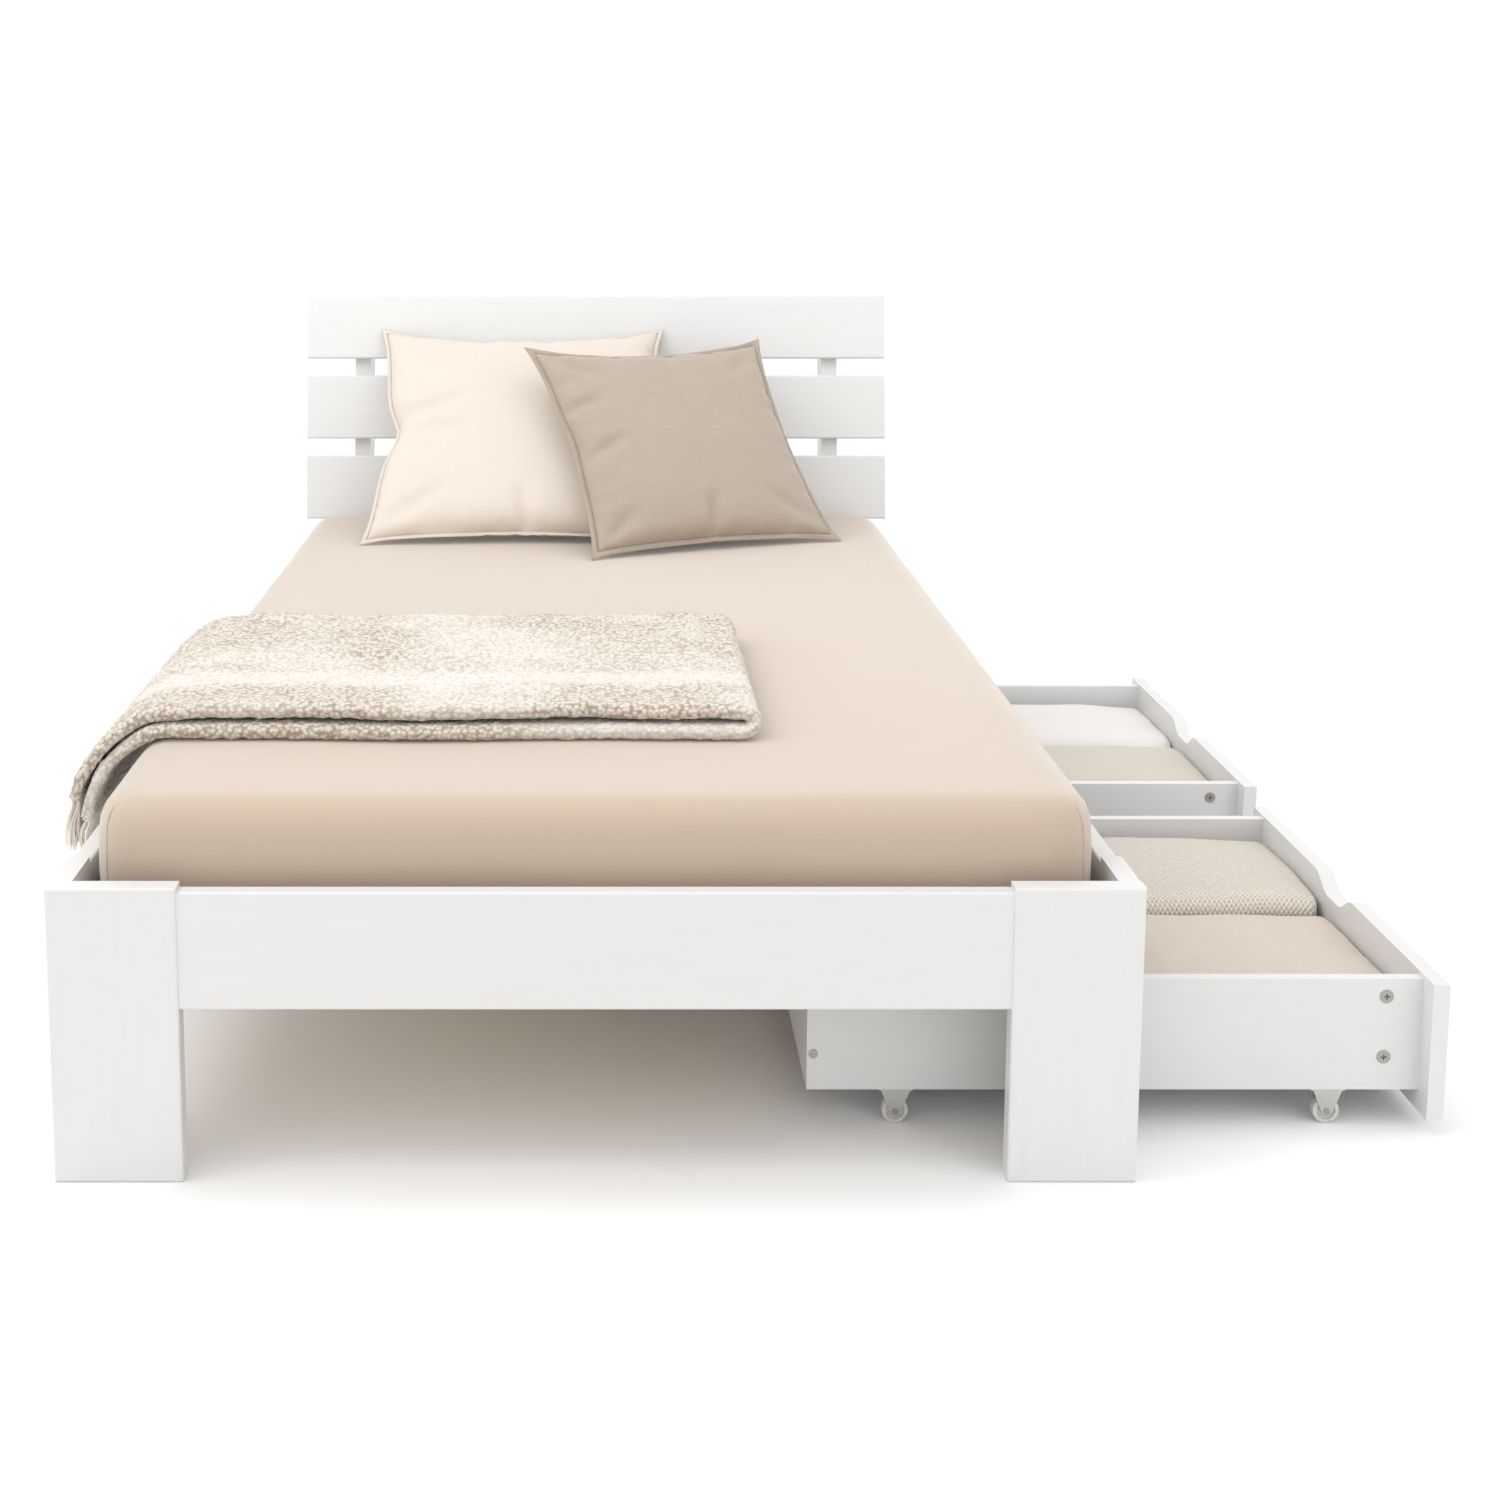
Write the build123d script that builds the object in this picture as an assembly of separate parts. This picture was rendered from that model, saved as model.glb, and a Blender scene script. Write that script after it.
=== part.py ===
from build123d import *
import os
from math import cos, radians, sin, tan

# White pine single bed with a slatted base and two roll-out storage drawers on castors.
#
# Working axes, in millimetres: X runs across the bed from its centre plane, positive on the side
# that the drawers roll out of.  Y runs from the front face of the foot end towards the headboard.
# Z runs up from the floor.  Every piece is finally shifted so that the origin lies on the floor,
# in the middle of the whole object with the drawers in the position drawn here.

# --- Mattress and frame -------------------------------------------------------------------
mattress_width = 1200.0
mattress_length = 2000.0
mattress_height = 185.0
mattress_corner_radius = 62.0  # in plan
mattress_edge_radius = 36.0  # round the top and bottom edges
sheet_thickness = 2.0
sheet_hem_rise = 8.0  # the sheet ends this far above the slats
side_gap = 13.0  # mattress to side rail
foot_gap = 24.0  # foot rail to mattress
head_gap = 9.0  # mattress to head rail

leg_board_thickness = 27.0
leg_front_width = 153.0
leg_return_depth = 112.0  # over both boards of the L
leg_height = 362.0
rail_thickness = 24.0
rail_height = 143.0
rail_below_leg_top = 6.0
edge_ease = 3.5  # rounded edges of the boards

# --- Slatted base -------------------------------------------------------------------------
slat_count = 13
slat_width = 70.0
slat_thickness = 18.0
slat_end_gap = 3.0
slat_side_gap = 22.0  # first and last slat to the end rails
slat_below_rail_top = 92.0  # top of the slats under the top of the rails
ledger_size = 30.0
webbing_width = 25.0
webbing_thickness = 1.5
webbing_from_centre = 350.0
beam_width = 45.0
beam_height = 40.0
mid_leg_size = 45.0

# --- Joining plates -----------------------------------------------------------------------
plate_length = 80.0
plate_height = 50.0
plate_thickness = 3.0
plate_screw_radius = 2.0
plate_screw_length = 18.0
plate_screw_head_radius = 4.0
plate_screw_head_height = 1.8
plate_screw_inset = 12.0
plate_above_slats = 6.0

# --- Headboard ----------------------------------------------------------------------------
headboard_side_inset = 18.0  # in from the outer faces of the legs
headboard_board_height = 136.0
headboard_board_gap = 37.0
headboard_board_thickness = 24.0
headboard_lean = 10.5  # degrees
headboard_above_knee = 30.0  # knee of the posts to the lowest board, along the slope
headboard_board_names = ("bottom", "middle", "top")
post_width = 33.0
post_depth = 85.0
post_edge_inset = 1.5  # past the inner edge of the leg that it is bolted to
post_knee_above_rail = 42.0
post_top_margin = 14.0  # top board over the end of the posts

post_bolt_radius = 4.0
post_bolt_head_radius = 10.0
post_bolt_head_height = 3.5
post_bolt_above_rail_bottom = 23.0
post_bolt_below_rail_top = 16.0
post_nut_radius = 7.5
post_nut_height = 7.0
post_nut_recess_radius = 12.0
post_nut_recess_depth = 20.0
board_bolt_radius = 3.0
board_bolt_head_radius = 6.0
board_bolt_head_height = 4.0
board_bolt_recess_depth = 12.0
board_bolt_grip = 15.0  # thread in the board
board_bolt_spacing = 70.0

# --- Drawers ------------------------------------------------------------------------------
drawer_panel_length = 700.0
drawer_panel_bottom = 19.5
drawer_below_rail = 17.0  # side rail to the top of the panel
drawer_panel_thickness = 22.0
drawer_panel_overhang = 31.0  # past each side wall
drawer_box_depth = 765.0
drawer_wall_thickness = 16.0
drawer_wall_below_panel = 5.0
drawer_bottom_thickness = 5.0
drawer_bottom_rise = 10.0
drawer_groove_depth = 6.0
drawer_groove_clearance = 0.25
drawer_first_gap = 6.0  # foot leg to the near panel
drawer_panel_gap = 102.0  # between the two panels
drawer_near_pulled = 414.0
drawer_far_pulled = 431.0

notch_top_width = 150.0
notch_bottom_width = 34.0
notch_depth = 23.0

cam_radius = 7.5
cam_depth = 12.5
cam_rim_radius = 8.6
cam_rim_height = 0.8
cam_slot_width = 1.6
cam_slot_depth = 3.0
cam_from_panel = 45.0
cam_rises = (43.0, 122.0)  # above the lower edge of the side wall
cam_bolt_radius = 3.5
cam_bolt_in_panel = 12.0
back_screw_radius = 2.5
back_screw_length = 45.0
back_screw_head_radius = 6.0
back_screw_head_height = 1.0
back_screw_rises = (47.0, 122.0)  # above the lower edge of the side wall

# --- Castors ------------------------------------------------------------------------------
wheel_radius = 16.5
wheel_width = 12.0
wheel_edge_radius = 1.5
wheel_recess_inner = 5.5
wheel_recess_outer = 11.5
wheel_recess_depth = 2.0
wheel_side_gap = 1.0
wheel_top_gap = 11.0
axle_radius = 2.5
axle_clearance = 0.05
axle_head_radius = 4.0
axle_head_height = 1.0
fork_plate_length = 42.0
fork_metal = 2.0
fork_cheek_top = 36.0
fork_cheek_end_radius = 7.0
castor_from_end = 112.0  # along the side wall, from each of its ends

# --- Soft goods ---------------------------------------------------------------------------
soft_gap = 0.5  # kept between soft solids and what they lie on
cream_pillow_size = 604.0
cream_pillow_thickness = 130.0
cream_pillow_lean = 51.0
cream_pillow_yaw = 0.0
cream_pillow_x = -158.0  # middle of its lower edge
cream_pillow_from_head = 384.0  # end of the mattress to its lower edge
taupe_pillow_size = 520.0
taupe_pillow_thickness = 118.0
taupe_pillow_lean = 45.5
taupe_pillow_yaw = 21.6
taupe_pillow_x = 237.0
taupe_pillow_from_head = 441.0
pillow_rim = 12.0

throw_from_foot = 251.0  # foot end of the mattress to its near edge
throw_strip_width = 570.0
throw_right_inset = 384.0  # right side of the mattress to its folded end
throw_thickness = 44.0  # folded twice, lying on the bed
throw_flap_thickness = 27.0  # pressed together where it hangs
throw_flap_bend_inset = 28.0  # where it starts down, in from the mattress's side
throw_rail_clearance = 14.0
throw_hang_below_rail = 56.0

stack_depth = 445.0  # folded textiles, from the panel towards the back
stack_side_gap = 5.0
stack_edge_radius = 14.0
linen_height = 104.0
near_knit_height = 120.0
far_knit_height = 110.0
quilt_height = 116.0
near_split = 0.53  # share of the inside width that the nearer stack takes
far_split = 0.55

# --- Places worked out from the sizes above -----------------------------------------------
bed_width = mattress_width + 2 * (side_gap + leg_board_thickness)
half_width = bed_width / 2
rail_top = leg_height - rail_below_leg_top
rail_bottom = rail_top - rail_height
rail_recess = leg_board_thickness - rail_thickness
rail_inner_x = half_width - leg_board_thickness
inner_length = foot_gap + mattress_length + head_gap
inner_start = leg_board_thickness
inner_end = inner_start + inner_length
frame_length = inner_end + leg_board_thickness
leg_inner_x = half_width - leg_front_width
slat_top = rail_top - slat_below_rail_top
slat_bottom = slat_top - slat_thickness
mattress_start = inner_start + foot_gap
mattress_end = mattress_start + mattress_length
mattress_top = slat_top + mattress_height
headboard_width = bed_width - 2 * headboard_side_inset
post_front = frame_length
post_centre = leg_inner_x + post_edge_inset + post_width / 2
post_bottom = rail_bottom
post_knee_height = rail_top + post_knee_above_rail
post_bolt_heights = (rail_bottom + post_bolt_above_rail_bottom, rail_top - post_bolt_below_rail_top)
cream_pillow_foot = (cream_pillow_x, mattress_end - cream_pillow_from_head)
taupe_pillow_foot = (taupe_pillow_x, mattress_end - taupe_pillow_from_head)
throw_near_edge = mattress_start + throw_from_foot
throw_far_edge = throw_near_edge + throw_strip_width
throw_right_end = mattress_width / 2 - throw_right_inset
throw_flap_bottom = rail_top - throw_hang_below_rail
drawer_wall_bottom = 2 * wheel_radius + wheel_top_gap + fork_metal
drawer_panel_top = rail_bottom - drawer_below_rail
drawer_wall_top = drawer_panel_top - drawer_wall_below_panel
cam_heights = [drawer_wall_bottom + rise for rise in cam_rises]
back_screw_heights = [drawer_wall_bottom + rise for rise in back_screw_rises]
fork_width = wheel_width + 2 * wheel_side_gap + 2 * fork_metal
drawer_closed_face = rail_inner_x + rail_thickness
near_drawer_start = leg_return_depth + drawer_first_gap
far_drawer_start = near_drawer_start + drawer_panel_length + drawer_panel_gap
mid_leg_y = near_drawer_start + drawer_panel_length + drawer_panel_gap / 2

corner = (Align.MIN, Align.MIN, Align.MIN)
left_of_bed = Plane.YZ
head_of_bed = Plane(origin=(0, frame_length / 2, 0), z_dir=(0, 1, 0))


def block(x_low, x_high, y_low, y_high, z_low, z_high):
    """A square-edged block between two corners."""
    size = Box(x_high - x_low, y_high - y_low, z_high - z_low, align=corner)
    return Pos(x_low, y_low, z_low) * size


def rod(start, direction, length, radius):
    """A round bar from a point, along a direction."""
    return extrude(Plane(origin=start, z_dir=direction) * Circle(radius), length)


def easy_board(board, axis, radius=edge_ease):
    """Rounds the edges of a board that run along one axis."""
    return fillet(board.edges().filter_by(axis), radius)


def rounded_slab(x_low, x_high, y_low, y_high, z_low, z_high, plan_radius, edge_radius):
    """A slab with round corners in plan and soft top and bottom edges."""
    slab = block(x_low, x_high, y_low, y_high, z_low, z_high)
    slab = fillet(slab.edges().filter_by(Axis.Z), plan_radius)
    ends = slab.faces().sort_by(Axis.Z)
    return fillet(ends[0].edges() + ends[-1].edges(), edge_radius)


def group(solids):
    """Separate solids that share one node."""
    return Compound([solid for shape in solids for solid in shape.solids()])


def cut_all(piece, tools):
    """A piece with the places of all its fasteners taken out."""
    for tool in tools:
        piece = piece - tool
    return piece


# --- Frame --------------------------------------------------------------------------------
def foot_right_leg():
    """An L of two glued boards: one faces the foot of the bed, one turns back along its side."""
    front = block(leg_inner_x, half_width, 0, leg_board_thickness, 0, leg_height)
    front = fillet(front.edges().group_by(Axis.Y)[0], edge_ease)
    back = block(rail_inner_x, half_width, leg_board_thickness, leg_return_depth, 0, leg_height)
    outside = back.edges().group_by(Axis.X)[-1]
    back = fillet(outside.sort_by(Axis.Y)[1:], edge_ease)
    return group([front, back])


def end_rail():
    """The rail between the two foot legs."""
    low = rail_recess
    board = block(-leg_inner_x, leg_inner_x, low, low + rail_thickness, rail_bottom, rail_top)
    return easy_board(board, Axis.X)


def side_rail():
    """The rail between the foot and head legs, on the drawers' side."""
    outer = rail_inner_x + rail_thickness
    start = leg_return_depth
    end = frame_length - leg_return_depth
    return easy_board(block(rail_inner_x, outer, start, end, rail_bottom, rail_top), Axis.Y)


def plate_and_screws(middle, along, out):
    """A flat plate over a butt joint, and its four screws.  Screws point away from the bed."""
    across = Vector(*along)
    outward = Vector(*out)
    seat = Plane(origin=middle, x_dir=across, z_dir=outward)
    plate = extrude(seat * Rectangle(plate_length, plate_height), -plate_thickness)
    screws = []
    for side_x in (-1, 1):
        for side_z in (-1, 1):
            x = side_x * (plate_length / 2 - plate_screw_inset)
            z = side_z * (plate_height / 2 - plate_screw_inset)
            hole = seat * Location((x, z, -plate_thickness))
            shank = extrude(Plane(hole) * Circle(plate_screw_radius), plate_screw_length)
            head = extrude(Plane(hole) * Circle(plate_screw_head_radius), -plate_screw_head_height)
            screws.append(shank + head)
    return cut_all(plate, screws), screws


def joining_plates():
    """Two plates at each of the four corners: end rail to leg, and side rail to leg."""
    height = slat_top + plate_above_slats + plate_height / 2
    end_middle = (leg_inner_x, inner_start, height)
    side_middle = (rail_inner_x, leg_return_depth, height)
    corner_sets = [
        plate_and_screws(end_middle, (1, 0, 0), (0, -1, 0)),
        plate_and_screws(side_middle, (0, 1, 0), (1, 0, 0)),
    ]
    plates = [plate for plate, screws in corner_sets]
    screws = [screw for plate, plate_screws in corner_sets for screw in plate_screws]
    for plane in (left_of_bed, head_of_bed):
        plates += [mirror(plate, about=plane) for plate in plates]
        screws += [mirror(screw, about=plane) for screw in screws]
    return plates, screws


def slats():
    """Loose slats that lie across the two ledgers and the centre beam."""
    reach = rail_inner_x - slat_end_gap
    first = inner_start + slat_side_gap
    last = inner_end - slat_side_gap - slat_width
    step = (last - first) / (slat_count - 1)
    row = []
    for index in range(slat_count):
        start = first + index * step
        slat = block(-reach, reach, start, start + slat_width, slat_bottom, slat_top)
        row.append(easy_board(slat, Axis.X, edge_ease / 2))
    return row


def slat_base(pieces):
    """Ledgers, centre beam, its leg, the slats and the straps that space them."""
    ledger = block(
        rail_inner_x - ledger_size,
        rail_inner_x,
        leg_return_depth,
        frame_length - leg_return_depth,
        slat_bottom - ledger_size,
        slat_bottom,
    )
    pieces["slat_ledgers"] = group([ledger, mirror(ledger, about=left_of_bed)])
    half_beam = beam_width / 2
    beam_bottom = slat_bottom - beam_height
    pieces["centre_beam"] = block(
        -half_beam, half_beam, inner_start, inner_end, beam_bottom, slat_bottom
    )
    half_leg = mid_leg_size / 2
    pieces["mid_leg"] = easy_board(
        block(-half_leg, half_leg, mid_leg_y - half_leg, mid_leg_y + half_leg, 0, beam_bottom),
        Axis.Z,
    )
    pieces["slats"] = group(slats())
    low = webbing_from_centre - webbing_width / 2
    strap = block(
        low,
        low + webbing_width,
        inner_start + slat_side_gap,
        inner_end - slat_side_gap,
        slat_bottom - webbing_thickness,
        slat_bottom,
    )
    pieces["slat_webbing"] = group([strap, mirror(strap, about=left_of_bed)])


# --- Headboard ----------------------------------------------------------------------------
knee = Axis((0, post_front, post_knee_height), (1, 0, 0))
slope_length = (
    headboard_above_knee + 3 * headboard_board_height + 2 * headboard_board_gap - post_top_margin
)


def leaned(upright):
    """Tips a piece drawn upright back to the slope of the headboard."""
    return upright.rotate(knee, -headboard_lean)


def headboard_post(centre_x):
    """A post with an upright lower part, bolted behind a head leg, and a leaning upper part."""
    lean = radians(headboard_lean)
    front_top = (post_front + slope_length * sin(lean), post_knee_height + slope_length * cos(lean))
    back_top = (front_top[0] + post_depth * cos(lean), front_top[1] - post_depth * sin(lean))
    back_knee = (post_front + post_depth, post_knee_height - post_depth * tan(lean / 2))
    side = Polyline(
        (post_front, post_bottom),
        (post_front, post_knee_height),
        front_top,
        back_top,
        back_knee,
        (post_front + post_depth, post_bottom),
        close=True,
    )
    left_face = Plane.YZ.offset(centre_x - post_width / 2)
    return extrude(left_face * make_face(side), post_width)


def headboard_board_bottom(index):
    """Height of a board's lower edge, along the slope, on the upright drawing."""
    pitch = headboard_board_height + headboard_board_gap
    return post_knee_height + headboard_above_knee + index * pitch


def headboard_board(index):
    """One board on the front of the posts."""
    low = headboard_board_bottom(index)
    front = post_front - headboard_board_thickness
    half = headboard_width / 2
    board = block(-half, half, front, post_front, low, low + headboard_board_height)
    return leaned(easy_board(board, Axis.X))


def board_bolt(x, height):
    """A bolt and the recess it is driven through, from the back of a post into a board."""
    back = post_front + post_depth
    seat = back - board_bolt_recess_depth
    length = seat - post_front + board_bolt_grip
    shank = rod((x, seat, height), (0, -1, 0), length, board_bolt_radius)
    head = rod((x, seat, height), (0, 1, 0), board_bolt_head_height, board_bolt_head_radius)
    recess = rod((x, seat, height), (0, 1, 0), board_bolt_recess_depth, board_bolt_head_radius)
    return leaned(shank + head), leaned(recess + shank)


def post_bolt(x, height):
    """A bolt through a head leg and a post, its nut, and the recess for the nut."""
    seat = post_front + post_depth - post_nut_recess_depth
    length = seat + post_nut_height - inner_end
    shank = rod((x, inner_end, height), (0, 1, 0), length, post_bolt_radius)
    head = rod((x, inner_end, height), (0, -1, 0), post_bolt_head_height, post_bolt_head_radius)
    nut_face = Plane(origin=(x, seat, height), z_dir=(0, 1, 0))
    nut = extrude(nut_face * RegularPolygon(post_nut_radius, 6), post_nut_height) - shank
    recess = rod((x, seat, height), (0, 1, 0), post_nut_recess_depth, post_nut_recess_radius)
    return shank + head, nut, recess


def headboard(pieces):
    """Posts, boards and the bolts that hold them."""
    boards = [headboard_board(index) for index in range(len(headboard_board_names))]
    board_bolts = []
    post_bolts = []
    post_nuts = []
    for name, side in (("left", -1), ("right", 1)):
        post = headboard_post(side * post_centre)
        for index in range(len(boards)):
            middle = headboard_board_bottom(index) + headboard_board_height / 2
            for step in (-0.5, 0.5):
                height = middle + step * board_bolt_spacing
                bolt, space = board_bolt(side * post_centre, height)
                board_bolts.append(bolt)
                post = post - space
                boards[index] = boards[index] - bolt
        for height in post_bolt_heights:
            bolt, nut, recess = post_bolt(side * post_centre, height)
            post_bolts.append(bolt)
            post_nuts.append(nut)
            post = post - bolt - recess
        pieces["headboard_post_" + name] = post
    for name, board in zip(headboard_board_names, boards):
        pieces["headboard_board_" + name] = board
    pieces["headboard_bolts"] = group(board_bolts)
    pieces["post_bolts"] = group(post_bolts)
    pieces["post_nuts"] = group(post_nuts)
    return post_bolts


def frame(pieces):
    """Legs, rails, joining plates and headboard."""
    plates, screws = joining_plates()
    post_bolts = headboard(pieces)
    foot_leg = foot_right_leg()
    leg_places = {
        "leg_foot_right": foot_leg,
        "leg_foot_left": mirror(foot_leg, about=left_of_bed),
        "leg_head_right": mirror(foot_leg, about=head_of_bed),
        "leg_head_left": mirror(mirror(foot_leg, about=left_of_bed), about=head_of_bed),
    }
    for name, leg in leg_places.items():
        pieces[name] = group([cut_all(board, screws + post_bolts) for board in leg.solids()])
    rail = end_rail()
    pieces["foot_rail"] = cut_all(rail, screws)
    pieces["head_rail"] = cut_all(mirror(rail, about=head_of_bed), screws)
    rail = side_rail()
    pieces["side_rail_right"] = cut_all(rail, screws)
    pieces["side_rail_left"] = cut_all(mirror(rail, about=left_of_bed), screws)
    pieces["joining_plates"] = group(plates)
    pieces["plate_screws"] = group(screws)


# --- Drawers ------------------------------------------------------------------------------
def notch_cutter(middle_y, outer_x):
    """The finger notch: a flat middle between two S-curved flanks, right through the panel."""
    top = drawer_panel_top
    low = top - notch_depth
    half_top = notch_top_width / 2
    half_bottom = notch_bottom_width / 2
    over = top + notch_depth
    left = Spline(
        (middle_y - half_top, top), (middle_y - half_bottom, low), tangents=[(1, 0), (1, 0)]
    )
    right = Spline(
        (middle_y + half_bottom, low), (middle_y + half_top, top), tangents=[(1, 0), (1, 0)]
    )
    floor = Line(left @ 1, right @ 0)
    roof = Polyline(right @ 1, (right @ 1) + (0, over - top), (left @ 0) + (0, over - top), left @ 0)
    outline = make_face(left + floor + right + roof)
    start = Plane.YZ.offset(outer_x - 2 * drawer_panel_thickness)
    return extrude(start * outline, 3 * drawer_panel_thickness)


def cam_set(wall_y, out, panel_back):
    """Cams, their seats in the wall and their bolts.  out is +1 or -1, away from the inside."""
    cams = []
    drums = []
    bolts = []
    outer_face = wall_y + out * drawer_wall_thickness / 2
    for height in cam_heights:
        x = panel_back - cam_from_panel
        drum = rod((x, outer_face, height), (0, -out, 0), cam_depth, cam_radius)
        rim = rod((x, outer_face, height), (0, out, 0), cam_rim_height, cam_rim_radius)
        cam = drum + rim
        face = outer_face + out * cam_rim_height
        for long_x, long_z in ((cam_radius, cam_slot_width), (cam_slot_width, cam_radius)):
            slot = Box(long_x, 2 * cam_slot_depth, long_z)
            cam = cam - Pos(x, face, height) * slot
        cams.append(cam)
        drums.append(drum)
        reach = cam_from_panel - cam_radius + cam_bolt_in_panel
        start = (panel_back + cam_bolt_in_panel, wall_y, height)
        bolts.append(rod(start, (-1, 0, 0), reach, cam_bolt_radius) - drum)
    return cams, drums, bolts


def back_screw_set(wall_y, out, box_back):
    """Screws through one side wall into the end of the back board."""
    screws = []
    outer_face = wall_y + out * drawer_wall_thickness / 2
    for height in back_screw_heights:
        place = (box_back + drawer_wall_thickness / 2, outer_face, height)
        shank = rod(place, (0, -out, 0), back_screw_length, back_screw_radius)
        head = rod(place, (0, out, 0), back_screw_head_height, back_screw_head_radius)
        screws.append(shank + head)
    return screws


def castor_fork(x, low_y):
    """A pressed steel fork: a plate and two cheeks that narrow to the axle."""
    high_y = low_y + fork_width
    plate_low = drawer_wall_bottom - fork_metal
    half_plate = fork_plate_length / 2
    fork = block(x - half_plate, x + half_plate, low_y, high_y, plate_low, drawer_wall_bottom)
    half_top = fork_cheek_top / 2
    end_radius = fork_cheek_end_radius
    outline = Polyline(
        (x - half_top, plate_low),
        (x + half_top, plate_low),
        (x + end_radius, wheel_radius),
        (x - end_radius, wheel_radius),
        close=True,
    )
    cheek = make_face(outline) + Pos(x, wheel_radius) * Circle(end_radius)
    for face_y in (low_y + fork_metal, high_y):
        fork = fork + extrude(Plane.XZ.offset(-face_y) * cheek, fork_metal)
    return fork - rod((x, low_y, wheel_radius), (0, 1, 0), fork_width, axle_radius)


def castor_axle(x, low_y):
    """A pin through both cheeks, with a flat head on each side."""
    pin = rod((x, low_y, wheel_radius), (0, 1, 0), fork_width, axle_radius)
    near_head = rod((x, low_y, wheel_radius), (0, -1, 0), axle_head_height, axle_head_radius)
    far_start = (x, low_y + fork_width, wheel_radius)
    far_head = rod(far_start, (0, 1, 0), axle_head_height, axle_head_radius)
    return pin + near_head + far_head


def castor_wheel(x, low_y):
    """A plastic wheel with a recessed web on both faces, running on its axle."""
    start = low_y + fork_metal + wheel_side_gap
    wheel = rod((x, start, wheel_radius), (0, 1, 0), wheel_width, wheel_radius)
    wheel = fillet(wheel.edges(), wheel_edge_radius)
    for face_y, inward in ((start, 1), (start + wheel_width, -1)):
        outer = rod((x, face_y, wheel_radius), (0, inward, 0), wheel_recess_depth, wheel_recess_outer)
        inner = rod((x, face_y, wheel_radius), (0, inward, 0), wheel_recess_depth, wheel_recess_inner)
        wheel = wheel - (outer - inner)
    bore = axle_radius + axle_clearance
    return wheel - rod((x, start, wheel_radius), (0, 1, 0), wheel_width, bore)


def castors(pieces, name, box_back, panel_back, near_face, far_face):
    """Four fixed castors under the side walls."""
    forks = []
    axles = []
    places = {
        "back_near": (box_back + castor_from_end, near_face),
        "back_far": (box_back + castor_from_end, far_face - fork_width),
        "front_near": (panel_back - castor_from_end, near_face),
        "front_far": (panel_back - castor_from_end, far_face - fork_width),
    }
    for place, (x, low_y) in places.items():
        forks.append(castor_fork(x, low_y))
        axles.append(castor_axle(x, low_y))
        pieces[name + "_wheel_" + place] = castor_wheel(x, low_y)
    pieces[name + "_castor_forks"] = group(forks)
    pieces[name + "_castor_axles"] = group(axles)


def drawer(pieces, name, start_y, pulled):
    """One roll-out drawer, drawn pulled out of the bed by the given distance."""
    end_y = start_y + drawer_panel_length
    outer_x = drawer_closed_face + pulled
    panel_back = outer_x - drawer_panel_thickness
    box_back = panel_back - drawer_box_depth
    near_face = start_y + drawer_panel_overhang
    far_face = end_y - drawer_panel_overhang
    wall = drawer_wall_thickness
    low = drawer_wall_bottom
    high = drawer_wall_top
    near_middle = near_face + wall / 2
    far_middle = far_face - wall / 2

    near_cams, near_drums, near_bolts = cam_set(near_middle, -1, panel_back)
    far_cams, far_drums, far_bolts = cam_set(far_middle, 1, panel_back)
    drums = near_drums + far_drums
    bolts = near_bolts + far_bolts
    screws = back_screw_set(near_middle, -1, box_back) + back_screw_set(far_middle, 1, box_back)

    bottom_low = low + drawer_bottom_rise
    bottom_high = bottom_low + drawer_bottom_thickness
    depth = drawer_groove_depth
    gap = drawer_groove_clearance
    bottom = block(
        box_back + wall - depth + gap,
        panel_back + depth - gap,
        near_face + wall - depth + gap,
        far_face - wall + depth - gap,
        bottom_low + gap,
        bottom_high,
    )
    groove = block(
        box_back + wall - depth,
        panel_back + depth,
        near_face + wall - depth,
        far_face - wall + depth,
        bottom_low,
        bottom_high,
    )

    panel = block(panel_back, outer_x, start_y, end_y, drawer_panel_bottom, drawer_panel_top)
    panel = fillet(panel.edges().group_by(Axis.X)[-1], edge_ease)
    panel = panel - notch_cutter((start_y + end_y) / 2, outer_x)
    near_wall = block(box_back, panel_back, near_face, near_face + wall, low, high)
    far_wall = block(box_back, panel_back, far_face - wall, far_face, low, high)
    back = block(box_back, box_back + wall, near_face + wall, far_face - wall, low, high)

    pieces[name + "_front"] = cut_all(panel, bolts + [groove])
    pieces[name + "_side_near"] = cut_all(near_wall, drums + bolts + screws + [groove])
    pieces[name + "_side_far"] = cut_all(far_wall, drums + bolts + screws + [groove])
    pieces[name + "_back"] = cut_all(back, screws + [groove])
    pieces[name + "_bottom"] = bottom
    pieces[name + "_cam_locks"] = group(near_cams + far_cams)
    pieces[name + "_cam_bolts"] = group(bolts)
    pieces[name + "_back_screws"] = group(screws)
    castors(pieces, name, box_back, panel_back, near_face, far_face)
    return panel_back, near_face + wall, far_face - wall, bottom_high


def stacks(pieces, inside, split, near_name, near_height, far_name, far_height):
    """Two folded textiles side by side in the front of a drawer."""
    panel_back, low_y, high_y, floor = inside
    split_y = low_y + split * (high_y - low_y)
    for name, start, end, height in (
        (near_name, low_y, split_y, near_height),
        (far_name, split_y, high_y, far_height),
    ):
        x_high = panel_back - stack_side_gap
        pieces[name] = rounded_slab(
            x_high - stack_depth,
            x_high,
            start + stack_side_gap,
            end - stack_side_gap,
            floor + soft_gap,
            floor + soft_gap + height,
            stack_edge_radius * 2,
            stack_edge_radius,
        )


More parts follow.
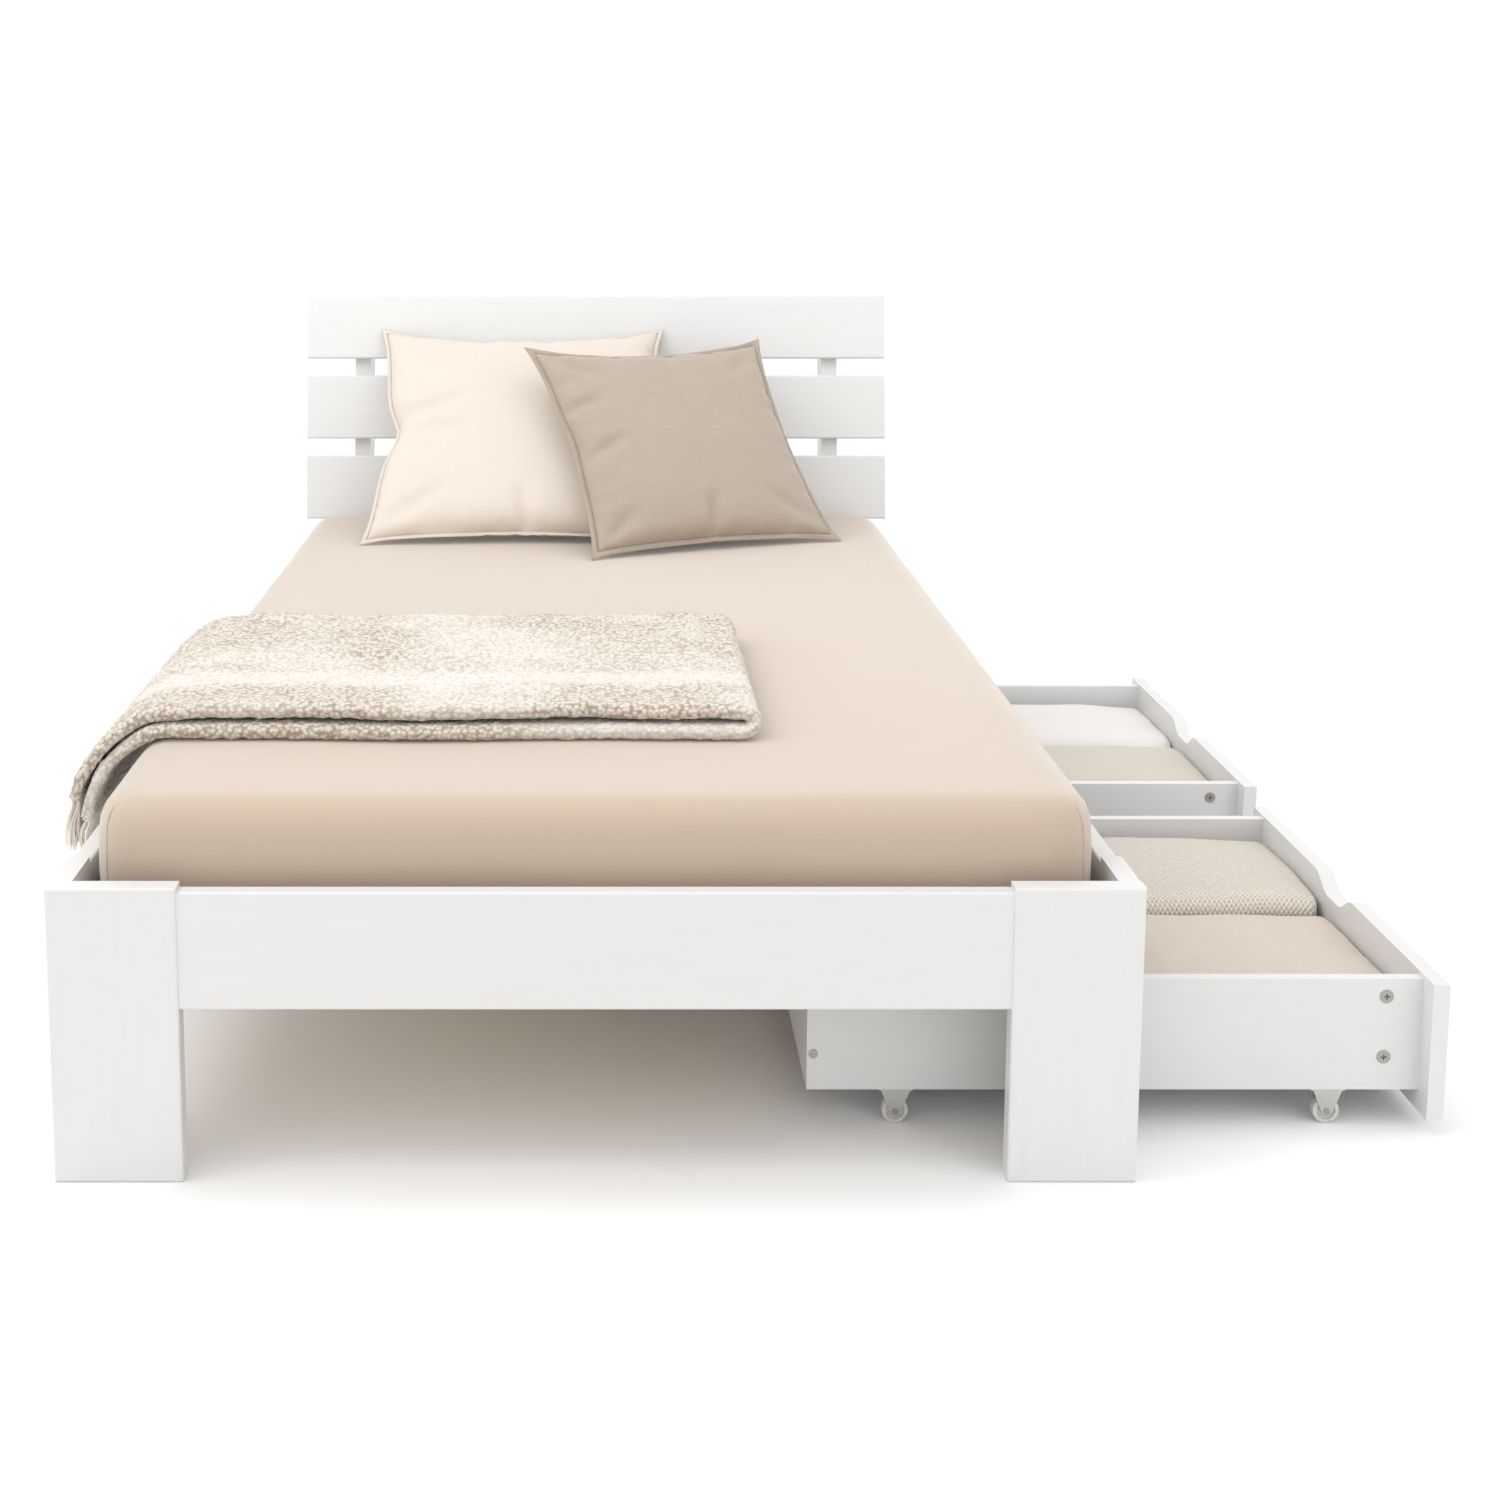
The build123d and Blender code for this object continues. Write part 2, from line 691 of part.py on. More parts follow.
# --- Soft goods ---------------------------------------------------------------------------
def mattress_and_sheet(pieces):
    """The mattress, and a fitted sheet drawn tight over its top and sides."""
    half = mattress_width / 2
    skin = sheet_thickness
    outside = rounded_slab(
        -half,
        half,
        mattress_start,
        mattress_end,
        slat_top,
        mattress_top,
        mattress_corner_radius,
        mattress_edge_radius,
    )
    inside = rounded_slab(
        -half + skin,
        half - skin,
        mattress_start + skin,
        mattress_end - skin,
        slat_top,
        mattress_top - skin,
        mattress_corner_radius - skin,
        mattress_edge_radius - skin,
    )
    hem = slat_top + sheet_hem_rise
    below = block(-half, half, mattress_start, mattress_end, slat_top, hem)
    pieces["mattress"] = inside
    pieces["fitted_sheet"] = outside - inside - below


def lens(size, thickness):
    """The outline of a filled pillow cut through its middle: two arcs between narrow rims."""
    half = size / 2
    rim = pillow_rim / 2
    left = ThreePointArc((-rim, -half), (-thickness / 2, 0), (-rim, half))
    right = ThreePointArc((rim, half), (thickness / 2, 0), (rim, -half))
    return make_face(left + Line(left @ 1, right @ 0) + right + Line(right @ 1, left @ 0))


def pillow(size, thickness, lean, yaw, foot):
    """A square pillow that stands on its lower edge and leans back."""
    outline = lens(size, thickness)
    upright = extrude(Plane.YZ.offset(-size / 2) * outline, size)
    across = Plane(origin=(0, 0, -size / 2), x_dir=(0, 1, 0), z_dir=(0, 0, 1))
    body = upright & extrude(across * outline, size)
    body = (Pos(0, 0, size / 2) * body).rotate(Axis.X, -lean).rotate(Axis.Z, yaw)
    low = body.bounding_box().min.Z
    return Pos(foot[0], foot[1], mattress_top + soft_gap - low) * body


def throw():
    """A folded blanket across the bed that hangs over the left side rail."""
    low = mattress_top + soft_gap
    high = low + throw_thickness
    bend_x = -(mattress_width / 2 - throw_flap_bend_inset)
    rail_x = -(drawer_closed_face + throw_rail_clearance)
    bottom_x = rail_x - throw_rail_clearance
    drop_x = bottom_x - throw_flap_thickness
    shoulder_x = -(mattress_width / 2 + throw_rail_clearance)
    shoulder_z = mattress_top - throw_flap_thickness * 0.8
    outline = Polyline(
        (throw_right_end, low),
        (bend_x, low),
        (shoulder_x, shoulder_z),
        (rail_x, rail_top),
        (bottom_x, throw_flap_bottom),
        (drop_x, throw_flap_bottom),
        (rail_x - throw_flap_thickness, rail_top + throw_rail_clearance),
        (shoulder_x - throw_flap_thickness / 2, mattress_top),
        (bend_x, high),
        (throw_right_end, high),
        close=True,
    )
    cross_section = make_face(outline)
    return extrude(Plane.XZ.offset(-throw_far_edge) * cross_section, throw_far_edge - throw_near_edge)


def soft_goods(pieces):
    """Everything of cloth that lies on the bed."""
    mattress_and_sheet(pieces)
    pieces["pillow_cream"] = pillow(
        cream_pillow_size,
        cream_pillow_thickness,
        cream_pillow_lean,
        cream_pillow_yaw,
        cream_pillow_foot,
    )
    pieces["pillow_taupe"] = pillow(
        taupe_pillow_size,
        taupe_pillow_thickness,
        taupe_pillow_lean,
        taupe_pillow_yaw,
        taupe_pillow_foot,
    )
    pieces["throw_blanket"] = throw()


# --- The whole bed ------------------------------------------------------------------------
def whole_bed():
    """Every piece by name."""
    pieces = {}
    frame(pieces)
    slat_base(pieces)
    soft_goods(pieces)
    near = drawer(pieces, "drawer_near", near_drawer_start, drawer_near_pulled)
    far = drawer(pieces, "drawer_far", far_drawer_start, drawer_far_pulled)
    stacks(
        pieces,
        near,
        near_split,
        "drawer_near_linen",
        linen_height,
        "drawer_near_knit",
        near_knit_height,
    )
    stacks(
        pieces,
        far,
        far_split,
        "drawer_far_knit",
        far_knit_height,
        "drawer_far_quilt",
        quilt_height,
    )
    return pieces


os.makedirs("parts", exist_ok=True)
bed = whole_bed()
extent = group(bed.values()).bounding_box()
origin_x = (extent.min.X + extent.max.X) / 2
origin_y = (extent.min.Y + extent.max.Y) / 2
for node, piece in bed.items():
    export_step(Pos(-origin_x, -origin_y, 0) * group([piece]), "parts/" + node + ".step")
print("origin at working X", round(origin_x, 3), "Y", round(origin_y, 3))
print("size", extent.size, "nodes", len(bed))
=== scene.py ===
import math
import random

import bmesh
import bpy
from mathutils import Matrix, Vector, noise
from mathutils.bvhtree import BVHTree


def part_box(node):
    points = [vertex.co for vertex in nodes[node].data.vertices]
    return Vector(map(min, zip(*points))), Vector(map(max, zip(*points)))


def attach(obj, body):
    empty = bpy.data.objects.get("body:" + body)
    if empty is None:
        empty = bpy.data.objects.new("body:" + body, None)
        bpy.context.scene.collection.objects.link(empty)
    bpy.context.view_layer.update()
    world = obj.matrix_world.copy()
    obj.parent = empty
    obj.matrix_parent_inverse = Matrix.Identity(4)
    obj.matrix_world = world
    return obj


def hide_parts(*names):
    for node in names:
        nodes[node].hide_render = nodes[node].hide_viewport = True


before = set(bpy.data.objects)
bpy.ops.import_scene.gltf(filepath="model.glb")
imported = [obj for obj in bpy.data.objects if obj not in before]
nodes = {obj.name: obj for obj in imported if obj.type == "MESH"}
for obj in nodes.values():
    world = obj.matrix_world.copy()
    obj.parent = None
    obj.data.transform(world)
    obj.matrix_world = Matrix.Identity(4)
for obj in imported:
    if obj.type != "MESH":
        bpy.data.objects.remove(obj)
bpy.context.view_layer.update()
scene = bpy.context.scene


def mm(value):
    """Millimetres in metres."""
    return value / 1000


# The bed's middle, its foot end and the top of its mattress, found from its nodes.
left_leg_low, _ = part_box("leg_foot_left")
_, right_leg_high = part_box("leg_foot_right")
BED_X = (left_leg_low.x + right_leg_high.x) / 2
FOOT_Y = left_leg_low.y
SHEET_LOW, SHEET_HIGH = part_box("fitted_sheet")
MATTRESS_TOP = SHEET_HIGH.z

# Colours, as linear red, green and blue.
WHITE_LACQUER = (0.70, 0.697, 0.69)
PINE_DARK = (0.66, 0.47, 0.27)
PINE_LIGHT = (0.83, 0.67, 0.45)
PINE_RING = (0.74, 0.56, 0.34)
SCREW_STEEL = (0.42, 0.40, 0.37)
CASTOR_STEEL = (0.58, 0.57, 0.55)
NYLON = (0.66, 0.65, 0.63)
NYLON_SCUFFED = (0.55, 0.54, 0.52)
WEBBING = (0.74, 0.71, 0.65)
TICKING = (0.78, 0.76, 0.72)
SHEET = (0.56, 0.442, 0.338)
CREAM = (0.695, 0.625, 0.55)
TAUPE = (0.425, 0.352, 0.285)
THROW = (0.74, 0.665, 0.575)
# Painted shade for the gaps between the loops of the throw.
THROW_GAP_SHADE = (0.38, 0.31, 0.24)
THROW_WORN = (0.74, 0.69, 0.63)
FRINGE = (0.86, 0.80, 0.72)
KNIT = (0.80, 0.73, 0.63)
LINEN = (0.63, 0.545, 0.47)
QUILT = (0.74, 0.715, 0.70)


# --- Materials ------------------------------------------------------------------------------
class Shader:
    """A material under construction, with short calls for the nodes that it needs."""

    def __init__(self, name, roughness=0.8, **sockets):
        self.material = bpy.data.materials.new(name)
        self.material.use_nodes = True
        self.tree = self.material.node_tree
        self.base = self.tree.nodes["Principled BSDF"]
        self.base.inputs["Roughness"].default_value = roughness
        for socket, value in sockets.items():
            self.base.inputs[socket.replace("_", " ")].default_value = value

    def node(self, kind, values=None, **settings):
        """Adds a node of a kind, with values for its sockets and settings for itself."""
        made = self.tree.nodes.new("ShaderNode" + kind)
        for name, value in settings.items():
            setattr(made, name, value)
        for name, value in (values or {}).items():
            self.put(value, made.inputs[name])
        return made

    def put(self, value, socket):
        """Links or sets a socket."""
        if isinstance(value, bpy.types.NodeSocket):
            self.tree.links.new(value, socket)
        elif socket.type == "RGBA":
            socket.default_value = (*value[:3], 1.0)
        else:
            socket.default_value = value

    def place(self, scale=(1, 1, 1), attribute=None):
        """Coordinates in metres, on the piece or along its cloth, times a scale."""
        if attribute:
            source = self.node("Attribute", attribute_name=attribute).outputs["Vector"]
        else:
            source = self.node("TexCoord").outputs["Object"]
        return self.node("Mapping", {"Vector": source, "Scale": scale}).outputs["Vector"]

    def noise(self, vector, scale, detail=3.0, roughness=0.5):
        """Noise from 0 to 1, with about so many lumps to the metre as its scale."""
        values = {"Vector": vector, "Scale": scale, "Detail": detail, "Roughness": roughness}
        return self.node("TexNoise", values).outputs["Fac"]

    def math(self, operation, first, second=0.0, third=0.0):
        """One arithmetic step on numbers or sockets."""
        return self.node("Math", {0: first, 1: second, 2: third}, operation=operation).outputs[0]

    def ramp(self, factor, *stops):
        """Colours along a factor, from stops of a position and a colour."""
        made = self.node("ValToRGB", {"Fac": factor})
        band = made.color_ramp.elements
        while len(band) < len(stops):
            band.new(0.5)
        for element, (position, color) in zip(band, stops):
            element.position = position
            element.color = (*color, 1.0)
        return made.outputs["Color"]

    def mix(self, factor, first, second):
        """A blend of two colours: sockets 6, 7 and 2 are the Mix node's colour ones."""
        made = self.node("Mix", {0: factor}, data_type="RGBA")
        self.put(first, made.inputs[6])
        self.put(second, made.inputs[7])
        return made.outputs[2]

    def bump(self, height, distance, strength=1.0, normal=None):
        """Relief of a height from 0 to 1 over a distance in metres."""
        made = self.node("Bump", {"Height": height, "Distance": distance, "Strength": strength})
        if normal:
            self.put(normal, made.inputs["Normal"])
        return made.outputs["Normal"]

    def done(self, color, normal=None, roughness=None):
        """Joins the last nodes to the surface and hands over the material."""
        self.put(color, self.base.inputs["Base Color"])
        if normal:
            self.put(normal, self.base.inputs["Normal"])
        if roughness:
            self.put(roughness, self.base.inputs["Roughness"])
        return self.material


def darker(color, share):
    """A colour brought towards black by a share."""
    return tuple(channel * (1 - share) for channel in color)


GRAIN = {"x": (1.0, 14.0, 14.0), "y": (14.0, 1.0, 14.0), "z": (14.0, 14.0, 1.0)}


def painted_pine(name, axis, color):
    """White lacquer over pine: the grain shows through faintly, as relief and as a tint."""
    shader = Shader(name, roughness=0.42, Coat_Weight=0.12, Coat_Roughness=0.3)
    along = shader.place(GRAIN[axis])
    grain = shader.noise(along, 9.0, detail=6.0, roughness=0.62)
    cloudy = shader.noise(shader.place(), 3.5, detail=2.0)
    tint = shader.ramp(grain, (0.25, darker(color, 0.05)), (0.6, color))
    shade = shader.mix(cloudy, tint, darker(color, 0.03))
    rough = shader.math("MULTIPLY_ADD", grain, 0.12, 0.36)
    return shader.done(shade, shader.bump(grain, mm(0.6), 0.35), rough)


def bare_pine(name, axis):
    """Raw pine with growth rings drawn out along the board."""
    shader = Shader(name, roughness=0.62)
    along = shader.place(GRAIN[axis])
    warp = shader.noise(along, 1.6, detail=2.0)
    rings = shader.math("FRACT", shader.math("MULTIPLY", warp, 9.0))
    fine = shader.noise(along, 30.0, detail=4.0)
    blend = shader.math("MULTIPLY_ADD", fine, 0.45, shader.math("MULTIPLY", rings, 0.55))
    color = shader.ramp(blend, (0.1, PINE_DARK), (0.55, PINE_LIGHT), (0.95, PINE_RING))
    return shader.done(color, shader.bump(blend, mm(0.5), 0.3))


def brushed_metal(name, color, roughness):
    """Zinc-plated steel with fine random brushing."""
    shader = Shader(name, roughness=roughness, Metallic=1.0)
    streaks = shader.noise(shader.place((40.0, 400.0, 400.0)), 3.0, detail=4.0)
    shade = shader.ramp(streaks, (0.3, darker(color, 0.2)), (0.7, color))
    return shader.done(shade, shader.bump(streaks, mm(0.1), 0.3))


def castor_plastic(name):
    """Milky grey nylon, slightly mottled, scuffed on the tread."""
    shader = Shader(name, roughness=0.45, Subsurface_Weight=0.15, Subsurface_Scale=mm(4))
    scuff = shader.noise(shader.place(), 220.0, detail=5.0)
    shade = shader.ramp(scuff, (0.35, NYLON_SCUFFED), (0.65, NYLON))
    return shader.done(shade, shader.bump(scuff, mm(0.2), 0.4))


def dress_frame():
    """Gives every CAD node the material of the first rule that its name fits, or else steel."""
    pine = {axis: painted_pine("painted_pine_" + axis, axis, WHITE_LACQUER) for axis in GRAIN}
    raw = {axis: bare_pine("bare_pine_" + axis, axis) for axis in GRAIN}
    steel = brushed_metal("plated_steel", SCREW_STEEL, 0.34)
    galvanised = brushed_metal("castor_steel", CASTOR_STEEL, 0.42)
    wheel = castor_plastic("castor_wheel")
    webbing = tape("slat_webbing", WEBBING)
    rules = [
        ("_wheel_", wheel),
        ("leg_", pine["z"]),
        ("headboard_post", pine["z"]),
        ("foot_rail", pine["x"]),
        ("head_rail", pine["x"]),
        ("side_rail", pine["y"]),
        ("headboard_board", pine["x"]),
        ("centre_beam", raw["y"]),
        ("slat_ledgers", raw["y"]),
        ("slat_webbing", webbing),
        ("slats", raw["x"]),
        ("mid_leg", raw["z"]),
        ("_front", pine["y"]),
        ("_side_near", pine["x"]),
        ("_side_far", pine["x"]),
        ("_back_screws", steel),
        ("_back", pine["y"]),
        ("_bottom", pine["y"]),
        ("_forks", galvanised),
    ]
    for name, node in nodes.items():
        material = next((choice for part, choice in rules if part in name), steel)
        node.data.materials.clear()
        node.data.materials.append(material)


# --- Fabric materials -----------------------------------------------------------------------
def threads(shader, spacing):
    """Plain weave: crossing threads at a spacing in metres along the cloth, from 0 to 1."""
    place = shader.place(attribute="cloth")
    split = shader.node("SeparateXYZ", {"Vector": place})
    turn = 2 * math.pi / spacing
    warp = shader.math("SINE", shader.math("MULTIPLY", split.outputs["X"], turn))
    weft = shader.math("SINE", shader.math("MULTIPLY", split.outputs["Y"], turn))
    crossing = shader.math("MULTIPLY", warp, weft)
    return shader.math("MULTIPLY_ADD", crossing, 0.5, 0.5)


def woven_cotton(name, color, spacing, slub, crumple, sheen):
    """Cotton cloth: fine weave, uneven yarn, faint crumples and a soft sheen."""
    shader = Shader(name, roughness=0.88, Sheen_Weight=sheen, Sheen_Roughness=0.45)
    shader.base.inputs["Sheen Tint"].default_value = (1.0, 0.99, 0.975, 1.0)
    weave = threads(shader, spacing)
    along = shader.noise(shader.place((6.0, 240.0, 1.0), attribute="cloth"), 3.0, detail=2.0)
    across = shader.noise(shader.place((240.0, 6.0, 1.0), attribute="cloth"), 3.0, detail=2.0)
    yarn = shader.math("MULTIPLY", along, across)
    soft = shader.noise(shader.place(attribute="cloth"), 3.0, detail=3.0)
    shade = shader.ramp(yarn, (0.1, darker(color, slub)), (0.34, color))
    shade = shader.mix(shader.math("MULTIPLY", soft, 0.5), shade, darker(color, 0.06))
    shade = shader.mix(shader.math("MULTIPLY", weave, 0.16), shade, darker(color, 0.22))
    folds = shader.noise(shader.place((1, 1.6, 1), attribute="cloth"), 9.0, detail=4.0)
    creased = shader.bump(folds, mm(4), crumple)
    relief = shader.bump(shader.math("ADD", weave, yarn), mm(0.25), 0.5, creased)
    return shader.done(shade, relief)


def boucle(name, color, shadow, smooth, fold):
    """Looped yarn with painted shade in the gaps between the loops, worn flat in patches and in a
    band.

    The band runs beside the fold, which lies at a place in metres across the cloth."""
    shader = Shader(name, roughness=0.95, Sheen_Weight=0.3, Sheen_Roughness=0.6)
    loops_per_metre = 150.0
    loops = shader.place()
    wobble = shader.noise(loops, 60.0, detail=2.0)
    spread = {"Vector": loops, "Scale": loops_per_metre, "Randomness": 0.85}
    cells = shader.node("TexVoronoi", spread)
    curl = shader.math("MULTIPLY_ADD", wobble, 0.35, cells.outputs["Distance"])
    flat = shader.place(attribute="cloth")
    split = shader.node("SeparateXYZ", {"Vector": flat})
    from_fold = shader.math("ABSOLUTE", shader.math("SUBTRACT", split.outputs["Y"], fold))
    wander = shader.noise(flat, 9.0, detail=2.0)
    from_fold = shader.math("MULTIPLY_ADD", wander, 0.05, from_fold)
    off, on = (0.0, 0.0, 0.0), (0.8, 0.8, 0.8)
    band = shader.ramp(from_fold, (0.13, off), (0.17, on), (0.21, on), (0.26, off))
    patches = shader.ramp(shader.noise(flat, 2.6, detail=3.0), (0.46, off), (0.62, on))
    band = shader.math("MAXIMUM", band, patches)
    # Painted shade: the gaps between the loops are darkened towards the shadow colour, and less so
    # where the loops lie flat.
    looped = shader.ramp(curl, (0.3, color), (0.62, darker(color, 0.1)), (0.88, shadow))
    even = shader.ramp(curl, (0.4, smooth), (0.9, darker(smooth, 0.14)))
    shade = shader.mix(band, looped, even)
    depth = shader.math("MULTIPLY_ADD", band, -0.6, 1.0)
    height = shader.math("MULTIPLY", shader.math("SUBTRACT", 1.0, curl), depth)
    return shader.done(shade, shader.bump(height, mm(5), 0.9))


def knitted(name, color, gauge):
    """Moss-stitch knit: rows of small purl dots with shadow between them."""
    shader = Shader(name, roughness=0.93, Sheen_Weight=0.3, Sheen_Roughness=0.55)
    place = shader.place(attribute="cloth")
    split = shader.node("SeparateXYZ", {"Vector": place})
    turn = 2 * math.pi / gauge
    column = shader.math("SINE", shader.math("MULTIPLY", split.outputs["X"], turn))
    row = shader.math("SINE", shader.math("MULTIPLY", split.outputs["Y"], turn * 0.8))
    fuzz = shader.noise(place, 500.0, detail=3.0)
    dots = shader.math("MULTIPLY", column, row)
    stitch = shader.math("MULTIPLY_ADD", dots, 0.5, fuzz)
    shade = shader.ramp(stitch, (0.1, darker(color, 0.42)), (0.5, darker(color, 0.1)), (0.85, color))
    worn = shader.noise(place, 5.0, detail=2.0)
    shade = shader.mix(shader.math("MULTIPLY", worn, 0.3), shade, darker(color, 0.15))
    return shader.done(shade, shader.bump(stitch, mm(2.2), 0.9))


def ticking(name, color):
    """Mattress cover: pale damask with a small diamond pattern."""
    shader = Shader(name, roughness=0.9)
    place = shader.place()
    split = shader.node("SeparateXYZ", {"Vector": place})
    lean = shader.math("ADD", split.outputs["X"], split.outputs["Y"])
    back = shader.math("SUBTRACT", split.outputs["X"], split.outputs["Y"])
    turn = 160.0
    first = shader.math("SINE", shader.math("MULTIPLY", lean, turn))
    second = shader.math("SINE", shader.math("MULTIPLY", back, turn))
    diamond = shader.math("MULTIPLY", first, second)
    shade = shader.ramp(diamond, (0.0, darker(color, 0.12)), (0.3, color))
    return shader.done(shade, shader.bump(diamond, mm(1.2), 0.5))


def tape(name, color):
    """Woven tape that holds the slats: a herringbone of thick threads."""
    shader = Shader(name, roughness=0.9)
    place = shader.place()
    split = shader.node("SeparateXYZ", {"Vector": place})
    zigzag = shader.math("PINGPONG", split.outputs["X"], mm(6))
    rows = shader.math("ADD", split.outputs["Y"], zigzag)
    thread = shader.math("SINE", shader.math("MULTIPLY", rows, 2600.0))
    shade = shader.ramp(thread, (0.1, darker(color, 0.3)), (0.7, color))
    return shader.done(shade, shader.bump(thread, mm(0.4), 0.6))


# --- Mesh helpers ---------------------------------------------------------------------------
def new_piece(name, points, faces, material, cloth=None):
    """A smooth-shaded mesh object, with the place of each point on its flat cloth."""
    mesh = bpy.data.meshes.new(name)
    mesh.from_pydata(points, [], faces)
    if cloth:
        flat = mesh.attributes.new("cloth", "FLOAT_VECTOR", "POINT")
        flat.data.foreach_set("vector", [value for u, v in cloth for value in (u, v, 0.0)])
    mesh.materials.append(material)
    mesh.shade_smooth()
    piece = bpy.data.objects.new(name, mesh)
    scene.collection.objects.link(piece)
    return piece


def settle(piece):
    """Applies a piece's modifiers to its mesh."""
    bpy.context.view_layer.update()
    shape = piece.evaluated_get(bpy.context.evaluated_depsgraph_get())
    made = bpy.data.meshes.new_from_object(shape)
    before = piece.data
    piece.modifiers.clear()
    piece.data = made
    bpy.data.meshes.remove(before)


def thicken(piece, thickness, offset):
    """Turns an open sheet into a closed one of a given thickness, facing outwards."""
    solidify = piece.modifiers.new("thickness", "SOLIDIFY")
    solidify.thickness = thickness
    solidify.offset = offset
    settle(piece)
    shape = bmesh.new()
    shape.from_mesh(piece.data)
    bmesh.ops.recalc_face_normals(shape, faces=shape.faces)
    shape.to_mesh(piece.data)
    shape.free()
    piece.data.shade_smooth()


def refine(piece):
    """Smooths a piece by one subdivision."""
    subdivision = piece.modifiers.new("subdivision", "SUBSURF")
    subdivision.levels = 1
    settle(piece)


def cord_curve(name, lines, radius, material):
    """Round cords along lists of points, as one curve object."""
    data = bpy.data.curves.new(name, "CURVE")
    data.dimensions = "3D"
    data.bevel_depth = radius
    data.bevel_resolution = 1
    data.resolution_u = 2
    data.use_fill_caps = True
    data.materials.append(material)
    for line in lines:
        spline = data.splines.new("POLY")
        spline.points.add(len(line) - 1)
        for point, place in zip(spline.points, line):
            point.co = (*place, 1.0)
    piece = bpy.data.objects.new(name, data)
    scene.collection.objects.link(piece)
    return piece


def declare(piece, body, slot, *replaced):
    """Hangs a piece on the empty of the body that it rides on, and hides the CAD nodes that it stands
    for; the slot for its finish is not used.
    """
    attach(piece, body)
    if replaced:
        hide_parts(*replaced)


def keep_above(piece, height, left_end=-math.inf, sink=0.0):
    """Raises what is below a level surface that starts at its left end, to a share of its depth."""
    for vertex in piece.data.vertices:
        if vertex.co.x > left_end and vertex.co.z < height:
            vertex.co.z = height + sink * (vertex.co.z - height)
    piece.data.update()


def smoothstep(value):
    """Eases from 0 to 1 as the value goes from 0 to 1."""
    value = min(max(value, 0.0), 1.0)
    return value * value * (3 - 2 * value)


def ripple(x, y, z=0.0, scale=1.0, seed=0.0):
    """Smooth noise from -1 to 1."""
    return noise.noise(Vector((x * scale + seed, y * scale, z * scale)))


# --- Mattress and fitted sheet --------------------------------------------------------------
def lattice_shell(counts):
    """Grid points and quads on the surface of a block of nx by ny by nz cells."""
    index = {}
    faces = []
    for axis in range(3):
        a, b = (axis + 1) % 3, (axis + 2) % 3
        for end in (0, counts[axis]):
            for i in range(counts[a]):
                for j in range(counts[b]):
                    quad = []
                    for da, db in ((0, 0), (1, 0), (1, 1), (0, 1)):
                        point = [end, end, end]
                        point[a] = i + da
                        point[b] = j + db
                        quad.append(index.setdefault(tuple(point), len(index)))
                    faces.append(quad if end else quad[::-1])
    return list(index), faces


def rounded(x, y, z, low, high, corner, edge):
    """Moves a point of a block's surface onto the block with rounded corners and edges.

    Returns the new point and its outward direction in plan."""
    core_x = min(max(x, low.x + corner), high.x - corner)
    core_y = min(max(y, low.y + corner), high.y - corner)
    out = Vector((x - core_x, y - core_y))
    inset = corner - max(abs(out.x), abs(out.y))
    upper = z > (low.z + high.z) / 2
    depth = high.z - z if upper else z - low.z
    a, b = edge - inset, edge - depth
    if a > 0 and b > 0:
        share = max(a, b) / math.hypot(a, b)
        inset = edge - a * share
        depth = edge - b * share
        z = high.z - depth if upper else low.z + depth
    if out.length > 0:
        out.normalize()
    place = Vector((core_x, core_y, z)) + Vector((out.x, out.y, 0)) * (corner - inset)
    return place, out


def mattress_relief(place, out, low, high):
    """Side bulge, soft waves and gathered corners, as a shift of a point of the surface."""
    rise = (place.z - low.z) / (high.z - low.z)
    bulge = mm(6)
    swell = bulge * math.sin(math.pi * min(max(rise, 0.0), 1.0)) - bulge
    across = (high.x - low.x) / 2 - abs(place.x - (low.x + high.x) / 2)
    along = (high.y - low.y) / 2 - abs(place.y - (low.y + high.y) / 2)
    to_corner = math.hypot(across, along)
    gather = math.exp(-((to_corner / mm(160)) ** 2))
    diagonal = place.z * 1.4 + (across - along) * 0.7
    swell += mm(1.2) * gather * math.sin(diagonal * 120.0) * ripple(*place, scale=18.0)
    swell += mm(1.6) * ripple(*place, scale=7.0)
    hollow = mm(2.2) * abs(ripple(place.x, place.y, scale=3.2, seed=4.0))
    return Vector((out.x * swell, out.y * swell, -hollow * smoothstep(rise * 2 - 1)))


def mattress_shell(name, low, high, corner, edge, inset, step, material):
    """A rounded block of the mattress's shape, drawn in by an inset all round."""
    inner_low = low + Vector((inset, inset, inset))
    inner_high = high - Vector((inset, inset, inset))
    size = inner_high - inner_low
    counts = [max(4, round(side / step)) for side in size]
    cells, faces = lattice_shell(counts)
    points = []
    cloth = []
    for cell in cells:
        x, y, z = (inner_low[k] + size[k] * cell[k] / counts[k] for k in range(3))
        place, out = rounded(x, y, z, inner_low, inner_high, corner, edge)
        drop = inner_high.z - place.z
        cloth.append((place.x + out.x * drop, place.y + out.y * drop))
        points.append(place + mattress_relief(place, out, low, high))
    return new_piece(name, points, faces, material, cloth)


